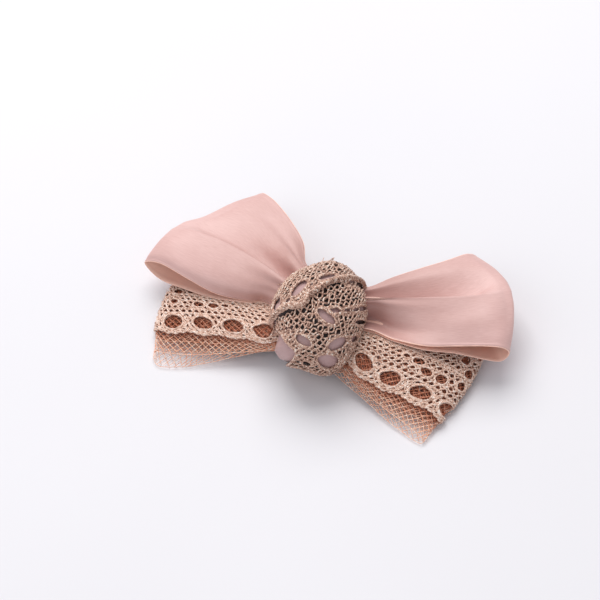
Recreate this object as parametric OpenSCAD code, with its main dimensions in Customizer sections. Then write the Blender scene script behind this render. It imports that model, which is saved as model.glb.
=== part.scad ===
// Double hair bow on an alligator clip: satin loops over lace and net loops,
// a round lace-covered knot in the middle, a sprung steel clip underneath.
// +X is the bow's length, +Y its back (satin) side, +Z its face.

/* [Satin loops] */
// Half the distance between the two front corners of the satin
satin_x = 55.6; // [50:0.1:58]
// Thickness of the satin ribbon
satin_t = 0.6; // [0.4:0.1:0.8]
// How far the fold stands open, upwards
satin_open = 5.2; // [3:0.1:5.4]

/* [Lace and net loops] */
// Half the distance between the two back corners of the lace
lace_x = 45; // [40:0.1:48]
// Thickness of the lace trim
lace_t = 0.5; // [0.4:0.1:0.6]
// Thickness of the netting
net_t = 0.4; // [0.3:0.1:0.4]
// How far the fold stands open, upwards
lace_open = 2.3; // [2:0.1:3]
// Share of the net's width that shows bare in front of the lace
net_bare = 0.16; // [0.1:0.01:0.25]

/* [Knot] */
// Half the knot's length along the bow
knot_rx = 14; // [12:0.1:15]
// Half the knot's depth, front to back
knot_ry = 18.4; // [16:0.1:19]
// Half the knot's height
knot_rz = 13; // [12.4:0.1:13.4]
// Height of the middle of the knot
knot_z = 14.4; // [14:0.1:15]
// Thickness of the lace bands round the knot
band_t = 0.7; // [0.5:0.1:0.9]

/* [Clip] */
// Length of the clip
clip_l = 42; // [38:0.5:44]
// Width of the top arm
clip_w = 8; // [7.6:0.1:9]
// Gauge of the steel
steel_t = 0.7; // [0.5:0.05:0.7]
// Underside of the top arm above the table
arm_z = 6.7; // [6.7:0.1:6.9]
// Radius of the pin
pin_r = 1; // [0.8:0.05:1]
// Running clearance of the lower arm on the pin
pin_gap = 0.06; // [0.04:0.01:0.08]

/* [Hidden] */
$fn = 48;

// middle of the knot, so that the whole bow is centred on the origin
knot_y = -6.4;
// middle of the clip's width, measured from the knot
clip_y = 1;
pin_x = 11;
pin_z = 3.9;

function mix(a, b, t) = a + (b - a) * t;
function lim(v) = max(0, min(1, v));

// A folded strip. al runs 0..180 from the knot over the top, round the fold and back below;
// t runs 0..1 from the front edge to the back edge.
// L = [x_in, y_in_front, y_in_back, z_in, x_front, y_front, z_front, x_back, y_back, z_back,
//      bulge, drop, open_up, open_down, crown, stack, droop of the front edge, swell of the back edge]
function strip_mid(L, al, t) =
  let (r = max(0, sin(al)), c = cos(al),
       xf = mix(L[4], L[7], t) + L[10] * sin(180 * t),
       yf = mix(L[5], L[8], t),
       zf = mix(L[6], L[9], t),
       lift = 2.6 * r * r * c * (c > 0 ? L[12] * (1 + L[14] * sin(180 * t)) : L[13]),
       out = sin(180 * lim((r - 0.3) / 0.7)),
       zc = mix(L[3], zf, pow(r, L[11])) - L[16] * out * pow(lim(1 - t / 0.75), 1.5))
  [mix(L[0], xf, r), mix(mix(L[1], L[2], t), yf, r) + L[17] * out * t * t, zc + lift + L[15] * c * (1 - r)];

function unit(v) = v / max(norm(v), 1e-9);
function strip_n(L, al, t) =
  unit(cross(strip_mid(L, al, t + 0.01) - strip_mid(L, al, t - 0.01),
             strip_mid(L, min(180, al + 0.5), t) - strip_mid(L, max(0, al - 0.5), t)));
function strip_pt(L, al, t, off) = strip_mid(L, al, t) + off * strip_n(L, al, t);

// A closed skin between two grids of points, na by nt cells
module skin(A, B, na, nt) {
  w = nt + 1;
  n = (na + 1) * w;
  function q(a, b, c, d) = [[a, b, c], [a, c, d]];
  F = [for (i = [0 : na - 1], j = [0 : nt - 1])
         let (a = i * w + j, b = a + 1, c = a + w + 1, d = a + w)
         each concat(q(a, b, c, d), q(n + a, n + d, n + c, n + b))];
  E1 = [for (i = [0 : na - 1]) let (a = i * w, d = a + w) each q(a, d, n + d, n + a)];
  E2 = [for (i = [0 : na - 1]) let (a = i * w + nt, d = a + w) each q(a, n + a, n + d, d)];
  E3 = [for (j = [0 : nt - 1]) let (a = j, b = j + 1) each q(a, n + a, n + b, b)];
  E4 = [for (j = [0 : nt - 1]) let (a = na * w + j, b = a + 1) each q(a, b, n + b, n + a)];
  polyhedron(points = concat(A, B), faces = concat(F, E1, E2, E3, E4), convexity = 8);
}

// the strip's solid, th thick
module strip(L, th, t0 = 0, t1 = 1, na = 32, nt = 7) {
  A = [for (i = [0 : na], j = [0 : nt]) strip_pt(L, 180 * i / na, mix(t0, t1, j / nt), -th / 2)];
  B = [for (i = [0 : na], j = [0 : nt]) strip_pt(L, 180 * i / na, mix(t0, t1, j / nt), th / 2)];
  translate([0, knot_y, 0]) skin(A, B, na, nt);
}

SATIN = [0.5, -7, 8, 12.5, satin_x, 6.4, 8.6, satin_x - 22.4, 37.2, 11.6, 5, 2.6, satin_open, 0.2, 0.35, 0.4, 0, 1.2];
LACE = [0.5, -8, 6.5, 10.1, lace_x - 3.6, -24.6, 0.35, lace_x, 6, 0.35, 0.8, 3.2, lace_open, 0.5, 0.2, 1, 5.6, 0];
// the net lies inside the lace's fold
NET = [0.5, -8, 6.3, 10.1, lace_x - 4.9, -24.6, 1.5, lace_x - 1.3, 5.8, 1.5, 0.8, 3.2, lace_open - 1.4, 0, 0.2, 0.25, 5.6, 0];

module satin_loop_right() { color([0.87, 0.73, 0.71]) strip(SATIN, satin_t); }
module satin_loop_left() { color([0.87, 0.73, 0.71]) mirror([1, 0, 0]) strip(SATIN, satin_t); }
module lace_loop_right() { color([0.80, 0.68, 0.60]) strip(LACE, lace_t, net_bare, 1); }
module lace_loop_left() { color([0.80, 0.68, 0.60]) mirror([1, 0, 0]) strip(LACE, lace_t, net_bare, 1); }
module net_loop_right() { color([0.72, 0.40, 0.28]) strip(NET, net_t); }
module net_loop_left() { color([0.72, 0.40, 0.28]) mirror([1, 0, 0]) strip(NET, net_t); }

// The way through the knot for the pinched strips, and the channel for the clip below it
module knot_ways() {
  translate([0, 0, 8.7])
    linear_extrude(6.5)
      polygon([[-16, -15], [-2, -9.3], [2, -9.3], [16, -15], [16, 26], [2, 10.2], [-2, 10.2], [-16, 26]]);
  translate([-20, -5.2 + clip_y, -1]) cube([40, 30, 9.2]);
}

module knot_satin() {
  color([0.80, 0.66, 0.65])
    translate([0, knot_y, 0])
      difference() {
        translate([0, -1.2, knot_z]) scale([knot_rx, knot_ry, knot_rz]) sphere(1, $fn = 40);
        knot_ways();
        translate([-20, -30, -2]) cube([40, 60, 3.4]);
      }
}

// A band laid over the knot. p = lengthwise angle from the back, over the top, to the front;
// b = position across the band, in degrees of the knot's length, swung by lean.
function band_pt(p, b, lean, off) =
  let (q = b + lean * cos(p), rx = knot_rx + off, ry = knot_ry + off, rz = knot_rz + off)
  [rx * sin(q), -1.2 + ry * cos(q) * cos(p), knot_z + rz * cos(q) * sin(p)];
module band(p0, p1, b0, b1, lean, off, th, na = 26, nt = 9) {
  A = [for (i = [0 : na], j = [0 : nt]) band_pt(mix(p0, p1, i / na), mix(b0, b1, j / nt), lean, off + th)];
  B = [for (i = [0 : na], j = [0 : nt]) band_pt(mix(p0, p1, i / na), mix(b0, b1, j / nt), lean, off)];
  translate([0, knot_y, 0]) skin(A, B, na, nt);
}
// back of the knot to its top front
module knot_lace_over() { color([0.76, 0.67, 0.60]) band(20, 128, -64, 64, 0, 0.25, band_t); }
// below the first band's edge, down the front and under
module knot_lace_under() { color([0.73, 0.62, 0.55]) band(131, 192, -40, 60, 0, 0.25, band_t); }

// Thread wound round the pinched strips
module binding_thread() {
  color([0.85, 0.78, 0.74])
    translate([-0.2, knot_y, 0]) rotate([90, 0, 90])
      linear_extrude(0.4)
        difference() {
          translate([-8.9, 8.75]) square([18, 5.75]);
          translate([-8.5, 9.05]) square([17.2, 5.1]);
        }
}

module glue_pad() {
  color([0.93, 0.90, 0.84])
    translate([-9, knot_y + clip_y - 3.2, arm_z + steel_t + 0.42]) cube([18, 6.4, 0.36]);
}
module clip_lining() {
  color([0.86, 0.70, 0.68])
    translate([-clip_l / 2 + 0.6, knot_y + clip_y - 3.7, arm_z + steel_t]) cube([clip_l - 1.2, 7.4, 0.4]);
}

// Lengthwise profile of an arm, extruded across the clip
module across(w) { translate([0, knot_y + clip_y + w / 2, 0]) rotate([90, 0, 0]) linear_extrude(w) children(); }

module ear(r, hole, z_lo, z_hi) {
  difference() {
    union() {
      translate([pin_x, pin_z]) circle(r);
      translate([pin_x - r, z_lo]) square([2 * r, z_hi - z_lo]);
    }
    translate([pin_x, pin_z]) circle(hole);
  }
}

module clip_top_arm() {
  color([0.78, 0.78, 0.80]) {
    difference() {
      union() {
        across(clip_w) translate([-clip_l / 2, arm_z]) square([clip_l, steel_t]);
        // turned-down tip with teeth
        across(clip_w) translate([-clip_l / 2, arm_z - 1.2]) square([steel_t, 1.3]);
      }
      for (k = [-1 : 1])
        translate([-clip_l / 2 - 1, knot_y + clip_y + k * 2.6, arm_z - 1.3]) rotate([0, 90, 0])
          rotate([0, 0, 45]) translate([0, 0, 0]) cube([1.1, 1.1, 8], center = true);
    }
    for (s = [-1, 1]) translate([0, s * (clip_w - steel_t) / 2, 0])
      across(steel_t) ear(2.3, pin_r + 0.005, pin_z, arm_z + 0.1);
  }
}

low_w = 6.2;
// middle line of the lower arm, from thumb lever to tip
LOW = [[clip_l / 2, 0.36], [17, 0.5], [13.6, 1.1], [9, 1.35], [-8.5, 1.35], [-13.5, 2.9], [-17, 4.1], [-clip_l / 2 + 0.2, 4.5]];
module path2d(P, th) { for (i = [0 : len(P) - 2]) stroke(P[i], P[i + 1], th); }
module stroke(a, b, th) {
  d = b - a;
  translate(a) rotate(atan2(d[1], d[0])) { translate([0, -th / 2]) square([norm(d), th]); circle(th / 2, $fn = 24); }
  translate(b) circle(th / 2, $fn = 24);
}
module clip_lower_arm() {
  color([0.72, 0.72, 0.74]) {
    difference() {
      union() {
        across(low_w) path2d(LOW, steel_t);
        // turned-up tip with teeth, which stand in the gaps of the top arm's
        across(low_w) translate([-clip_l / 2 + 0.95, 4.3]) square([steel_t, 1.6]);
      }
      for (k = [-0.5, 0.5])
        translate([-clip_l / 2, knot_y + clip_y + k * 2.6, 6.1]) rotate([0, 90, 0])
          rotate([0, 0, 45]) cube([1.2, 1.2, 8], center = true);
    }
    for (s = [-1, 1]) translate([0, s * (low_w - steel_t) / 2, 0])
      across(steel_t) ear(2.1, pin_r + pin_gap, 1.35, pin_z);
  }
}

module clip_pin() {
  color([0.80, 0.80, 0.82])
    translate([pin_x, knot_y + clip_y, pin_z]) rotate([90, 0, 0]) {
      cylinder(r = pin_r, h = clip_w + 0.2, center = true);
      for (s = [-1, 1]) translate([0, 0, s * (clip_w / 2 + 0.3)]) cylinder(r = pin_r + 0.7, h = 0.5, center = true);
    }
}

// Torsion spring: leg under the top arm, turns round the pin, leg on the lower arm
wire_r = 0.3;
coil_r = 1.6;
turns = 4;
pitch = 0.72;
function coil_pt(a) = [pin_x + coil_r * sin(a), -turns * pitch / 2 + pitch * a / 360, pin_z + coil_r * cos(a)];
leg_top = [18.6, -turns * pitch / 2, arm_z - wire_r - 0.05];
leg_low = [18.2, turns * pitch / 2, 1.16];
SPRING = concat([leg_top, mix(leg_top, coil_pt(0), 0.5)], [for (i = [0 : 12 * turns + 6]) coil_pt(i * 30)],
                [mix(coil_pt(360 * turns + 180), leg_low, 0.5), leg_low]);
function ring(P, i, k, m) =
  let (a = P[max(0, i - 1)], b = P[min(len(P) - 1, i + 1)], T = unit(b - a), N = unit(cross([0, 1, 0], T)),
       B = cross(T, N), g = 360 * k / m)
  P[i] + wire_r * (cos(g) * N + sin(g) * B);
module wire(P, m = 8) {
  n = len(P);
  V = [for (i = [0 : n - 1], k = [0 : m - 1]) ring(P, i, k, m)];
  F = [for (i = [0 : n - 2], k = [0 : m - 1])
         let (a = i * m + k, b = i * m + (k + 1) % m, c = b + m, d = a + m) each [[a, d, c], [a, c, b]]];
  polyhedron(points = V, faces = concat(F, [[for (k = [0 : m - 1]) k]], [[for (k = [0 : m - 1]) (n - 1) * m + m - 1 - k]]), convexity = 8);
}
module clip_spring() { color([0.70, 0.70, 0.72]) translate([0, knot_y + clip_y, 0]) wire(SPRING); }

satin_loop_left();
satin_loop_right();
lace_loop_left();
lace_loop_right();
net_loop_left();
net_loop_right();
knot_satin();
knot_lace_over();
knot_lace_under();
binding_thread();
glue_pad();
clip_lining();
clip_top_arm();
clip_lower_arm();
clip_pin();
clip_spring();
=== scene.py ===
import bpy
import math
import numpy as np
from mathutils import Matrix, Vector
from mathutils.kdtree import KDTree


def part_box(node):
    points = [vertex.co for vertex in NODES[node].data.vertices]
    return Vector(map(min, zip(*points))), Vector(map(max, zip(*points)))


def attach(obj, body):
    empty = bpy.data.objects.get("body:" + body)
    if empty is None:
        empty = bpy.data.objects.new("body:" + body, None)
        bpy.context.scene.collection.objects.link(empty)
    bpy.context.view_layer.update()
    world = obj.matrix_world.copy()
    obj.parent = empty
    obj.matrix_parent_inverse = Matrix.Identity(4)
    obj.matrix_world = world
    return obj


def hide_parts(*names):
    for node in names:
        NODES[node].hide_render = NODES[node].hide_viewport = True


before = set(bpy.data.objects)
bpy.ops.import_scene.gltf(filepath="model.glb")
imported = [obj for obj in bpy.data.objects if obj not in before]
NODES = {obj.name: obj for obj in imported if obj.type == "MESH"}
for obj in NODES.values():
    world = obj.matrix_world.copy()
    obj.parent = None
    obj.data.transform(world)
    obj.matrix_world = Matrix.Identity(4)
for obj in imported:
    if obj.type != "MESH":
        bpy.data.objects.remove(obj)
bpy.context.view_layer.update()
MM = 0.001

# The knot's centre line sits behind the middle of the object by this many millimetres.
_lo, _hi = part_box("knot_satin")
KNOT_Y = -6.4
RNG = np.random.default_rng(7)


# ---------------------------------------------------------------- camera
AZ, EL, DIST = math.radians(19.85), math.radians(47.2), 650.0
R_ = np.array([math.cos(AZ), math.sin(AZ), 0.0])
C_ = np.array([math.sin(AZ) * math.cos(EL), -math.cos(AZ) * math.cos(EL), math.sin(EL)])
U_ = np.cross(C_, R_)
TARGET = np.array([0.0, KNOT_Y, 10.0])


def make_camera():
    aim = TARGET - 4.9 * R_ + 6.0 * U_
    cam = bpy.data.objects.new("camera", bpy.data.cameras.new("camera"))
    bpy.context.scene.collection.objects.link(cam)
    cam.data.sensor_width = 36
    cam.data.lens = 136.1
    cam.location = Vector((aim + DIST * C_) * MM)
    cam.rotation_mode = "QUATERNION"
    cam.rotation_quaternion = Vector(-C_).to_track_quat("-Z", "Y")
    cam.data.clip_start, cam.data.clip_end = 0.01, 20
    bpy.context.scene.camera = cam


make_camera()


# ---------------------------------------------------------------- surfaces
def spline_weights(x, n):
    """Catmull-Rom weights of the parameter values x (0..1) over n control points."""
    x = np.clip(np.asarray(x, float), 0, 1) * (n - 1)
    i = np.minimum(x.astype(int), n - 2)
    f = x - i
    w = np.stack([
        -0.5 * f + f * f - 0.5 * f ** 3,
        1 - 2.5 * f * f + 1.5 * f ** 3,
        0.5 * f + 2 * f * f - 1.5 * f ** 3,
        -0.5 * f * f + 0.5 * f ** 3], -1)
    m = np.zeros(x.shape + (n + 2,))
    idx = np.indices(x.shape)
    for k in range(4):
        m[tuple(idx) + (i + k,)] += w[..., k]
    out = m[..., 1:-1].copy()
    out[..., 0] += 2 * m[..., 0]
    out[..., 1] -= m[..., 0]
    out[..., -1] += 2 * m[..., -1]
    out[..., -2] -= m[..., -1]
    return out


class Net:
    """A smooth surface through rows of control points, in millimetres about the knot."""

    def __init__(self, rows, flip=False):
        self.P = np.array(rows, float)
        self.P[..., 1] += KNOT_Y
        self.flip = flip

    def at(self, a, t):
        wa = spline_weights(a, self.P.shape[0])
        wt = spline_weights(t, self.P.shape[1])
        return np.einsum("...i,...j,ijk->...k", wa, wt, self.P)

    def normal(self, a, t):
        e = 2e-3
        da = self.at(np.clip(a + e, 0, 1), t) - self.at(np.clip(a - e, 0, 1), t)
        dt = self.at(a, np.clip(t + e, 0, 1)) - self.at(a, np.clip(t - e, 0, 1))
        n = np.cross(da, dt)
        n /= np.maximum(np.linalg.norm(n, axis=-1, keepdims=True), 1e-9)
        return -n if self.flip else n


class Strip:
    """Fabric coordinates on a Net: u along the strip in mm from the fold, v across in mm from the border."""

    def __init__(self, net, fold, t0, width, fringe):
        self.net, self.width, self.fringe = net, width, fringe
        na, nv = 420, 150
        a = np.linspace(0, 1, na)
        t = np.linspace(t0, 1, 140)
        A, T = np.meshgrid(a, t, indexing="ij")
        G = net.at(A, T)
        S = np.concatenate([np.zeros((na, 1)), np.cumsum(np.linalg.norm(np.diff(G, axis=1), axis=-1), 1)], 1)
        mid = G[:, 45]
        U = np.concatenate([[0], np.cumsum(np.linalg.norm(np.diff(mid, axis=0), axis=-1))])
        self.U = U - np.interp(fold, a, U)
        self.a = a
        v = np.linspace(-fringe, width, nv)
        TT = np.zeros((na, nv))
        for i in range(na):
            L = S[i, -1]
            k = max(width / L, 0.6)
            s = L * (1 - np.power(np.clip(1 - v / width, 0, None), k))
            TT[i] = np.where(v >= 0, np.interp(np.clip(s, 0, L), S[i], t), t0 * (1 + v / max(fringe, 1e-6)))
        AA = np.repeat(a[:, None], nv, 1)
        self.X = net.at(AA, TT)
        N = net.normal(AA, np.clip(TT, 0, 1))
        self.N = N
        self.v = v

    def place(self, q):
        """q is (u, v, h); returns points and normals."""
        a = np.interp(q[:, 0], self.U, np.arange(len(self.a)))
        b = np.interp(q[:, 1], self.v, np.arange(len(self.v)))
        i = np.minimum(a.astype(int), len(self.a) - 2)
        j = np.minimum(b.astype(int), len(self.v) - 2)
        f, g = (a - i)[:, None], (b - j)[:, None]
        out = []
        for Z in (self.X, self.N):
            out.append((1 - f) * ((1 - g) * Z[i, j] + g * Z[i, j + 1]) + f * ((1 - g) * Z[i + 1, j] + g * Z[i + 1, j + 1]))
        n = out[1] / np.maximum(np.linalg.norm(out[1], axis=1, keepdims=True), 1e-9)
        return out[0] + n * q[:, 2:3], n


# ---------------------------------------------------------------- mesh helpers
def new_object(name, verts, faces, fab=None, smooth=True):
    me = bpy.data.meshes.new(name)
    me.from_pydata((np.asarray(verts) * MM).tolist(), [], faces.tolist() if isinstance(faces, np.ndarray) else faces)
    if fab is not None:
        at = me.attributes.new("fab", "FLOAT_VECTOR", "POINT")
        at.data.foreach_set("vector", np.asarray(fab, np.float32).ravel())
    if smooth:
        me.polygons.foreach_set("use_smooth", [True] * len(me.polygons))
    me.update()
    ob = bpy.data.objects.new(name, me)
    bpy.context.scene.collection.objects.link(ob)
    return ob


def smooth_noise(n, step, amp, rng, spacing=1.6):
    """A smooth random line of n samples, with control points every `spacing` mm."""
    k = max(int(n * step / spacing) + 4, 5)
    c = rng.normal(0, amp, k)
    x = np.linspace(0, k - 1.001, n)
    i = x.astype(int)
    f = x - i
    f = f * f * (3 - 2 * f)
    return c[i] * (1 - f) + c[np.minimum(i + 1, k - 1)] * f


class Tubes:
    """Collects threads and turns them into one mesh."""

    def __init__(self, sides=5, seed=1):
        self.sides, self.V, self.F, self.fab, self.n = sides, [], [], [], 0
        self.rng = np.random.default_rng(seed)
        self.length = 0.0

    def add(self, P, N, r, closed=False, flat=1.0, bead=0.0, bead_len=0.9, tag=None):
        n, k = len(P), self.sides
        if n < 3:
            return
        if closed:
            T = np.roll(P, -1, 0) - np.roll(P, 1, 0)
        else:
            T = np.gradient(P, axis=0)
        T /= np.maximum(np.linalg.norm(T, axis=1, keepdims=True), 1e-9)
        B = np.cross(T, N)
        B /= np.maximum(np.linalg.norm(B, axis=1, keepdims=True), 1e-9)
        M = np.cross(B, T)
        s = np.concatenate([[0], np.cumsum(np.linalg.norm(np.diff(P, axis=0), axis=1))])
        self.length += s[-1]
        r = np.broadcast_to(np.asarray(r, float), (n,)).copy()
        if bead:
            r *= 1 + bead * np.sin(2 * np.pi * s / bead_len + self.rng.uniform(0, 6.28))
        if not closed:
            r[0] *= 0.45
            r[-1] *= 0.45
        th = np.arange(k) * 2 * np.pi / k + 0.3
        V = P[:, None] + r[:, None, None] * (np.cos(th)[None, :, None] * B[:, None] + flat * np.sin(th)[None, :, None] * M[:, None])
        base = self.n
        ring = base + np.arange(n)[:, None] * k + np.arange(k)[None]
        nxt = np.roll(ring, -1, 1)
        if closed:
            a, b = ring, np.roll(ring, -1, 0)
            an, bn = nxt, np.roll(nxt, -1, 0)
        else:
            a, b, an, bn = ring[:-1], ring[1:], nxt[:-1], nxt[1:]
        Q = np.stack([a, an, bn, b], -1).reshape(-1, 4)
        self.F.extend(Q.tolist())
        if not closed:
            self.F.append(ring[0][::-1].tolist())
            self.F.append(ring[-1].tolist())
        self.V.append(V.reshape(-1, 3))
        f = np.zeros((n, k, 3))
        f[..., 0] = s[:, None]
        f[..., 1] = th[None] / 6.2832
        f[..., 2] = self.rng.uniform(0, 100) if tag is None else tag[:, None]
        self.fab.append(f.reshape(-1, 3))
        self.n += n * k

    def build(self, name):
        V = np.concatenate(self.V)
        V[:, 2] = np.maximum(V[:, 2], 0.03)
        return new_object(name, V, self.F, np.concatenate(self.fab))


def resample(P, step, closed=False):
    P = np.asarray(P, float)
    if closed:
        P = np.vstack([P, P[:1]])
    d = np.linalg.norm(np.diff(P, axis=0), axis=1)
    s = np.concatenate([[0], np.cumsum(d)])
    n = max(int(s[-1] / step) + 1, 4)
    x = np.linspace(0, s[-1], n + 1 if closed else n)
    out = np.stack([np.interp(x, s, P[:, k]) for k in range(P.shape[1])], 1)
    return out[:-1] if closed else out


def smooth_curve(P, n):
    P = np.asarray(P, float)
    x = np.linspace(0, 1, n)
    return spline_weights(x, len(P)) @ P


# ---------------------------------------------------------------- materials
def material(name):
    m = bpy.data.materials.new(name)
    m.use_nodes = True
    nt = m.node_tree
    return m, nt, nt.nodes["Principled BSDF"]


def node(nt, kind, **values):
    n = nt.nodes.new(kind)
    for k, v in values.items():
        if k in n.inputs:
            n.inputs[k].default_value = v
        else:
            setattr(n, k, v)
    return n


def lin(r, g, b):
    """An sRGB 0..255 colour as a linear one."""
    f = lambda c: c / 12.92 if c <= 0.04045 else ((c + 0.055) / 1.055) ** 2.4
    return (f(r / 255), f(g / 255), f(b / 255), 1)


def ramp(nt, fac, stops):
    n = nt.nodes.new("ShaderNodeValToRGB")
    el = n.color_ramp.elements
    while len(el) < len(stops):
        el.new(0.5)
    for e, (p, c) in zip(el, stops):
        e.position = p
        e.color = c
    nt.links.new(fac, n.inputs["Fac"])
    return n.outputs["Color"]


def fabric_vector(nt, scale):
    at = node(nt, "ShaderNodeAttribute", attribute_name="fab")
    mp = node(nt, "ShaderNodeMapping")
    mp.inputs["Scale"].default_value = scale
    nt.links.new(at.outputs["Vector"], mp.inputs["Vector"])
    return mp.outputs["Vector"]


def object_vector(nt, scale):
    tc = nt.nodes.new("ShaderNodeTexCoord")
    mp = node(nt, "ShaderNodeMapping")
    mp.inputs["Scale"].default_value = scale
    nt.links.new(tc.outputs["Object"], mp.inputs["Vector"])
    return mp.outputs["Vector"]


def noise(nt, vec, scale=1.0, detail=3.0, rough=0.55):
    n = node(nt, "ShaderNodeTexNoise", Scale=scale, Detail=detail, Roughness=rough)
    nt.links.new(vec, n.inputs["Vector"])
    return n.outputs["Fac"]


def wave(nt, vec, direction="X", scale=1.0, distortion=0.0):
    n = node(nt, "ShaderNodeTexWave", Scale=scale, Distortion=distortion)
    n.bands_direction = direction
    nt.links.new(vec, n.inputs["Vector"])
    return n.outputs["Fac"]


def math_node(nt, op, a, b):
    n = nt.nodes.new("ShaderNodeMath")
    n.operation = op
    for k, x in enumerate((a, b)):
        if isinstance(x, (int, float)):
            n.inputs[k].default_value = x
        else:
            nt.links.new(x, n.inputs[k])
    return n.outputs[0]


def bump(nt, bsdf, height, strength, distance, normal=None):
    n = node(nt, "ShaderNodeBump", Strength=strength, Distance=distance)
    nt.links.new(height, n.inputs["Height"])
    if normal is not None:
        nt.links.new(normal, n.inputs["Normal"])
    nt.links.new(n.outputs["Normal"], bsdf.inputs["Normal"])
    return n.outputs["Normal"]


def satin_material(name, light, dark, roughness=0.42, inner_or_shade_colour=(0.5, 0.22, 0.15, 1), painted_gather_shade=False):
    m, nt, b = material(name)
    streak = noise(nt, fabric_vector(nt, (0.35, 5.0, 1)), 1.0, 4, 0.6)
    cloud = noise(nt, fabric_vector(nt, (0.05, 0.07, 1)), 1.0, 2, 0.5)
    warp = wave(nt, fabric_vector(nt, (1, 1, 1)), "Y", 1.35, 0.2)
    weft = wave(nt, fabric_vector(nt, (1, 1, 1)), "X", 0.8, 0.6)
    mixv = math_node(nt, "ADD", math_node(nt, "MULTIPLY", streak, 0.55), math_node(nt, "MULTIPLY", cloud, 0.45))
    col = ramp(nt, mixv, [(0.34, dark), (0.62, light)])
    at = node(nt, "ShaderNodeAttribute", attribute_name="fab")
    sep = nt.nodes.new("ShaderNodeSeparateXYZ")
    nt.links.new(at.outputs["Vector"], sep.inputs[0])
    if painted_gather_shade:
        # painted shade: the colour is darkened towards the pinched ends, away from the open fold at 52 mm, where the
        # gathers and the knot shade the ribbon
        far = math_node(nt, "ABSOLUTE", math_node(nt, "SUBTRACT", sep.outputs["X"], 52.0), 0)
        cl = nt.nodes.new("ShaderNodeClamp")
        nt.links.new(math_node(nt, "DIVIDE", math_node(nt, "SUBTRACT", far, 7.0), 38.0), cl.inputs["Value"])
        mg = nt.nodes.new("ShaderNodeMix")
        mg.data_type = "RGBA"
        mg.blend_type = "MULTIPLY"
        nt.links.new(cl.outputs[0], mg.inputs["Factor"])
        nt.links.new(col, mg.inputs[6])
        mg.inputs[7].default_value = (0.76, 0.69, 0.66, 1)
        col = mg.outputs[2]
    # fab.z mixes in the second colour: on the loop sheets it is 1 on the inner face, painted lighter and warmer for
    # light through the satin; on the knot's satin it is the painted shade under the lace
    mx = nt.nodes.new("ShaderNodeMix")
    mx.data_type = "RGBA"
    nt.links.new(sep.outputs["Z"], mx.inputs["Factor"])
    nt.links.new(col, mx.inputs[6])
    mx.inputs[7].default_value = inner_or_shade_colour
    nt.links.new(mx.outputs[2], b.inputs["Base Color"])
    rr = math_node(nt, "ADD", math_node(nt, "MULTIPLY", streak, 0.16), roughness - 0.08)
    nt.links.new(rr, b.inputs["Roughness"])
    b.inputs["Sheen Weight"].default_value = 0.35
    b.inputs["Sheen Roughness"].default_value = 0.35
    b.inputs["Sheen Tint"].default_value = lin(255, 225, 220)
    b.inputs["Specular IOR Level"].default_value = 0.45
    h = math_node(nt, "ADD", math_node(nt, "MULTIPLY", warp, 0.6), math_node(nt, "MULTIPLY", weft, 0.25))
    h = math_node(nt, "ADD", h, math_node(nt, "MULTIPLY", streak, 0.8))
    bump(nt, b, h, 0.22, 0.00006)
    return m


def thread_material(name, stops, metallic, roughness, twist=2.2, strength=0.5):
    m, nt, b = material(name)
    # a fine random speckle through the stops; for the lace the stops run from painted shade to painted glints
    sp = noise(nt, object_vector(nt, (1500, 1500, 1500)), 1.0, 3, 0.7)
    col = ramp(nt, sp, stops)
    nt.links.new(col, b.inputs["Base Color"])
    b.inputs["Metallic"].default_value = metallic
    r2 = noise(nt, object_vector(nt, (900, 900, 900)), 1.0, 2, 0.5)
    nt.links.new(math_node(nt, "ADD", math_node(nt, "MULTIPLY", r2, 0.3), roughness - 0.15), b.inputs["Roughness"])
    b.inputs["Specular IOR Level"].default_value = 0.6
    tw = node(nt, "ShaderNodeAttribute", attribute_name="fab")
    sep = nt.nodes.new("ShaderNodeSeparateXYZ")
    nt.links.new(tw.outputs["Vector"], sep.inputs[0])
    ph = math_node(nt, "ADD", math_node(nt, "MULTIPLY", sep.outputs["X"], twist), sep.outputs["Y"])
    sn = math_node(nt, "SINE", math_node(nt, "MULTIPLY", ph, 6.2832), 0)
    bump(nt, b, math_node(nt, "ADD", sn, math_node(nt, "MULTIPLY", sp, 1.5)), strength, 0.00008)
    return m


def metal_material(name, colour, roughness, brushed=(200, 2500, 2500), dark=0.75):
    m, nt, b = material(name)
    br = noise(nt, object_vector(nt, brushed), 1.0, 5, 0.65)
    blot = noise(nt, object_vector(nt, (160, 160, 160)), 1.0, 3, 0.5)
    c0 = tuple(x * dark for x in colour[:3]) + (1,)
    col = ramp(nt, math_node(nt, "ADD", math_node(nt, "MULTIPLY", br, 0.6), math_node(nt, "MULTIPLY", blot, 0.4)), [(0.3, c0), (0.65, colour)])
    nt.links.new(col, b.inputs["Base Color"])
    b.inputs["Metallic"].default_value = 1.0
    nt.links.new(math_node(nt, "ADD", math_node(nt, "MULTIPLY", br, 0.25), roughness - 0.1), b.inputs["Roughness"])
    bump(nt, b, br, 0.15, 0.00003)
    return m


# the loops' satin: its inner colour is a painted glow, lighter and warmer than the outside, for light through the
# satin; the painted gather shade darkens it towards the knot
SATIN = satin_material("satin", lin(227, 189, 184), lin(209, 166, 160), 0.42, lin(255, 210, 192), True)
# the knot's satin: a darker copy of the loops' satin, painted shade for the knot, and near black as painted shade
# where the lace lies closed over it
SATIN_KNOT_SHADED = satin_material("satin_knot_shaded", lin(196, 164, 162), lin(172, 138, 137), 0.5, lin(44, 28, 25))
# the lace: a fine random speckle whose dark end is painted shade in the yarn and whose near-white end is painted
# glints on the metallic thread
LACE = thread_material("lace", [(0.31, lin(156, 98, 74)), (0.44, lin(224, 184, 162)), (0.56, lin(246, 216, 199)), (0.67, lin(255, 249, 242))], 0.08, 0.42)
# the knot's lace: the same lace with a darker low end, painted shade for the knot's shaded side
LACE_KNOT_SHADED = thread_material("lace_knot_shaded", [(0.34, lin(92, 54, 42)), (0.46, lin(200, 156, 136)), (0.57, lin(232, 197, 176)), (0.66, lin(255, 250, 242))], 0.08, 0.38)


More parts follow.
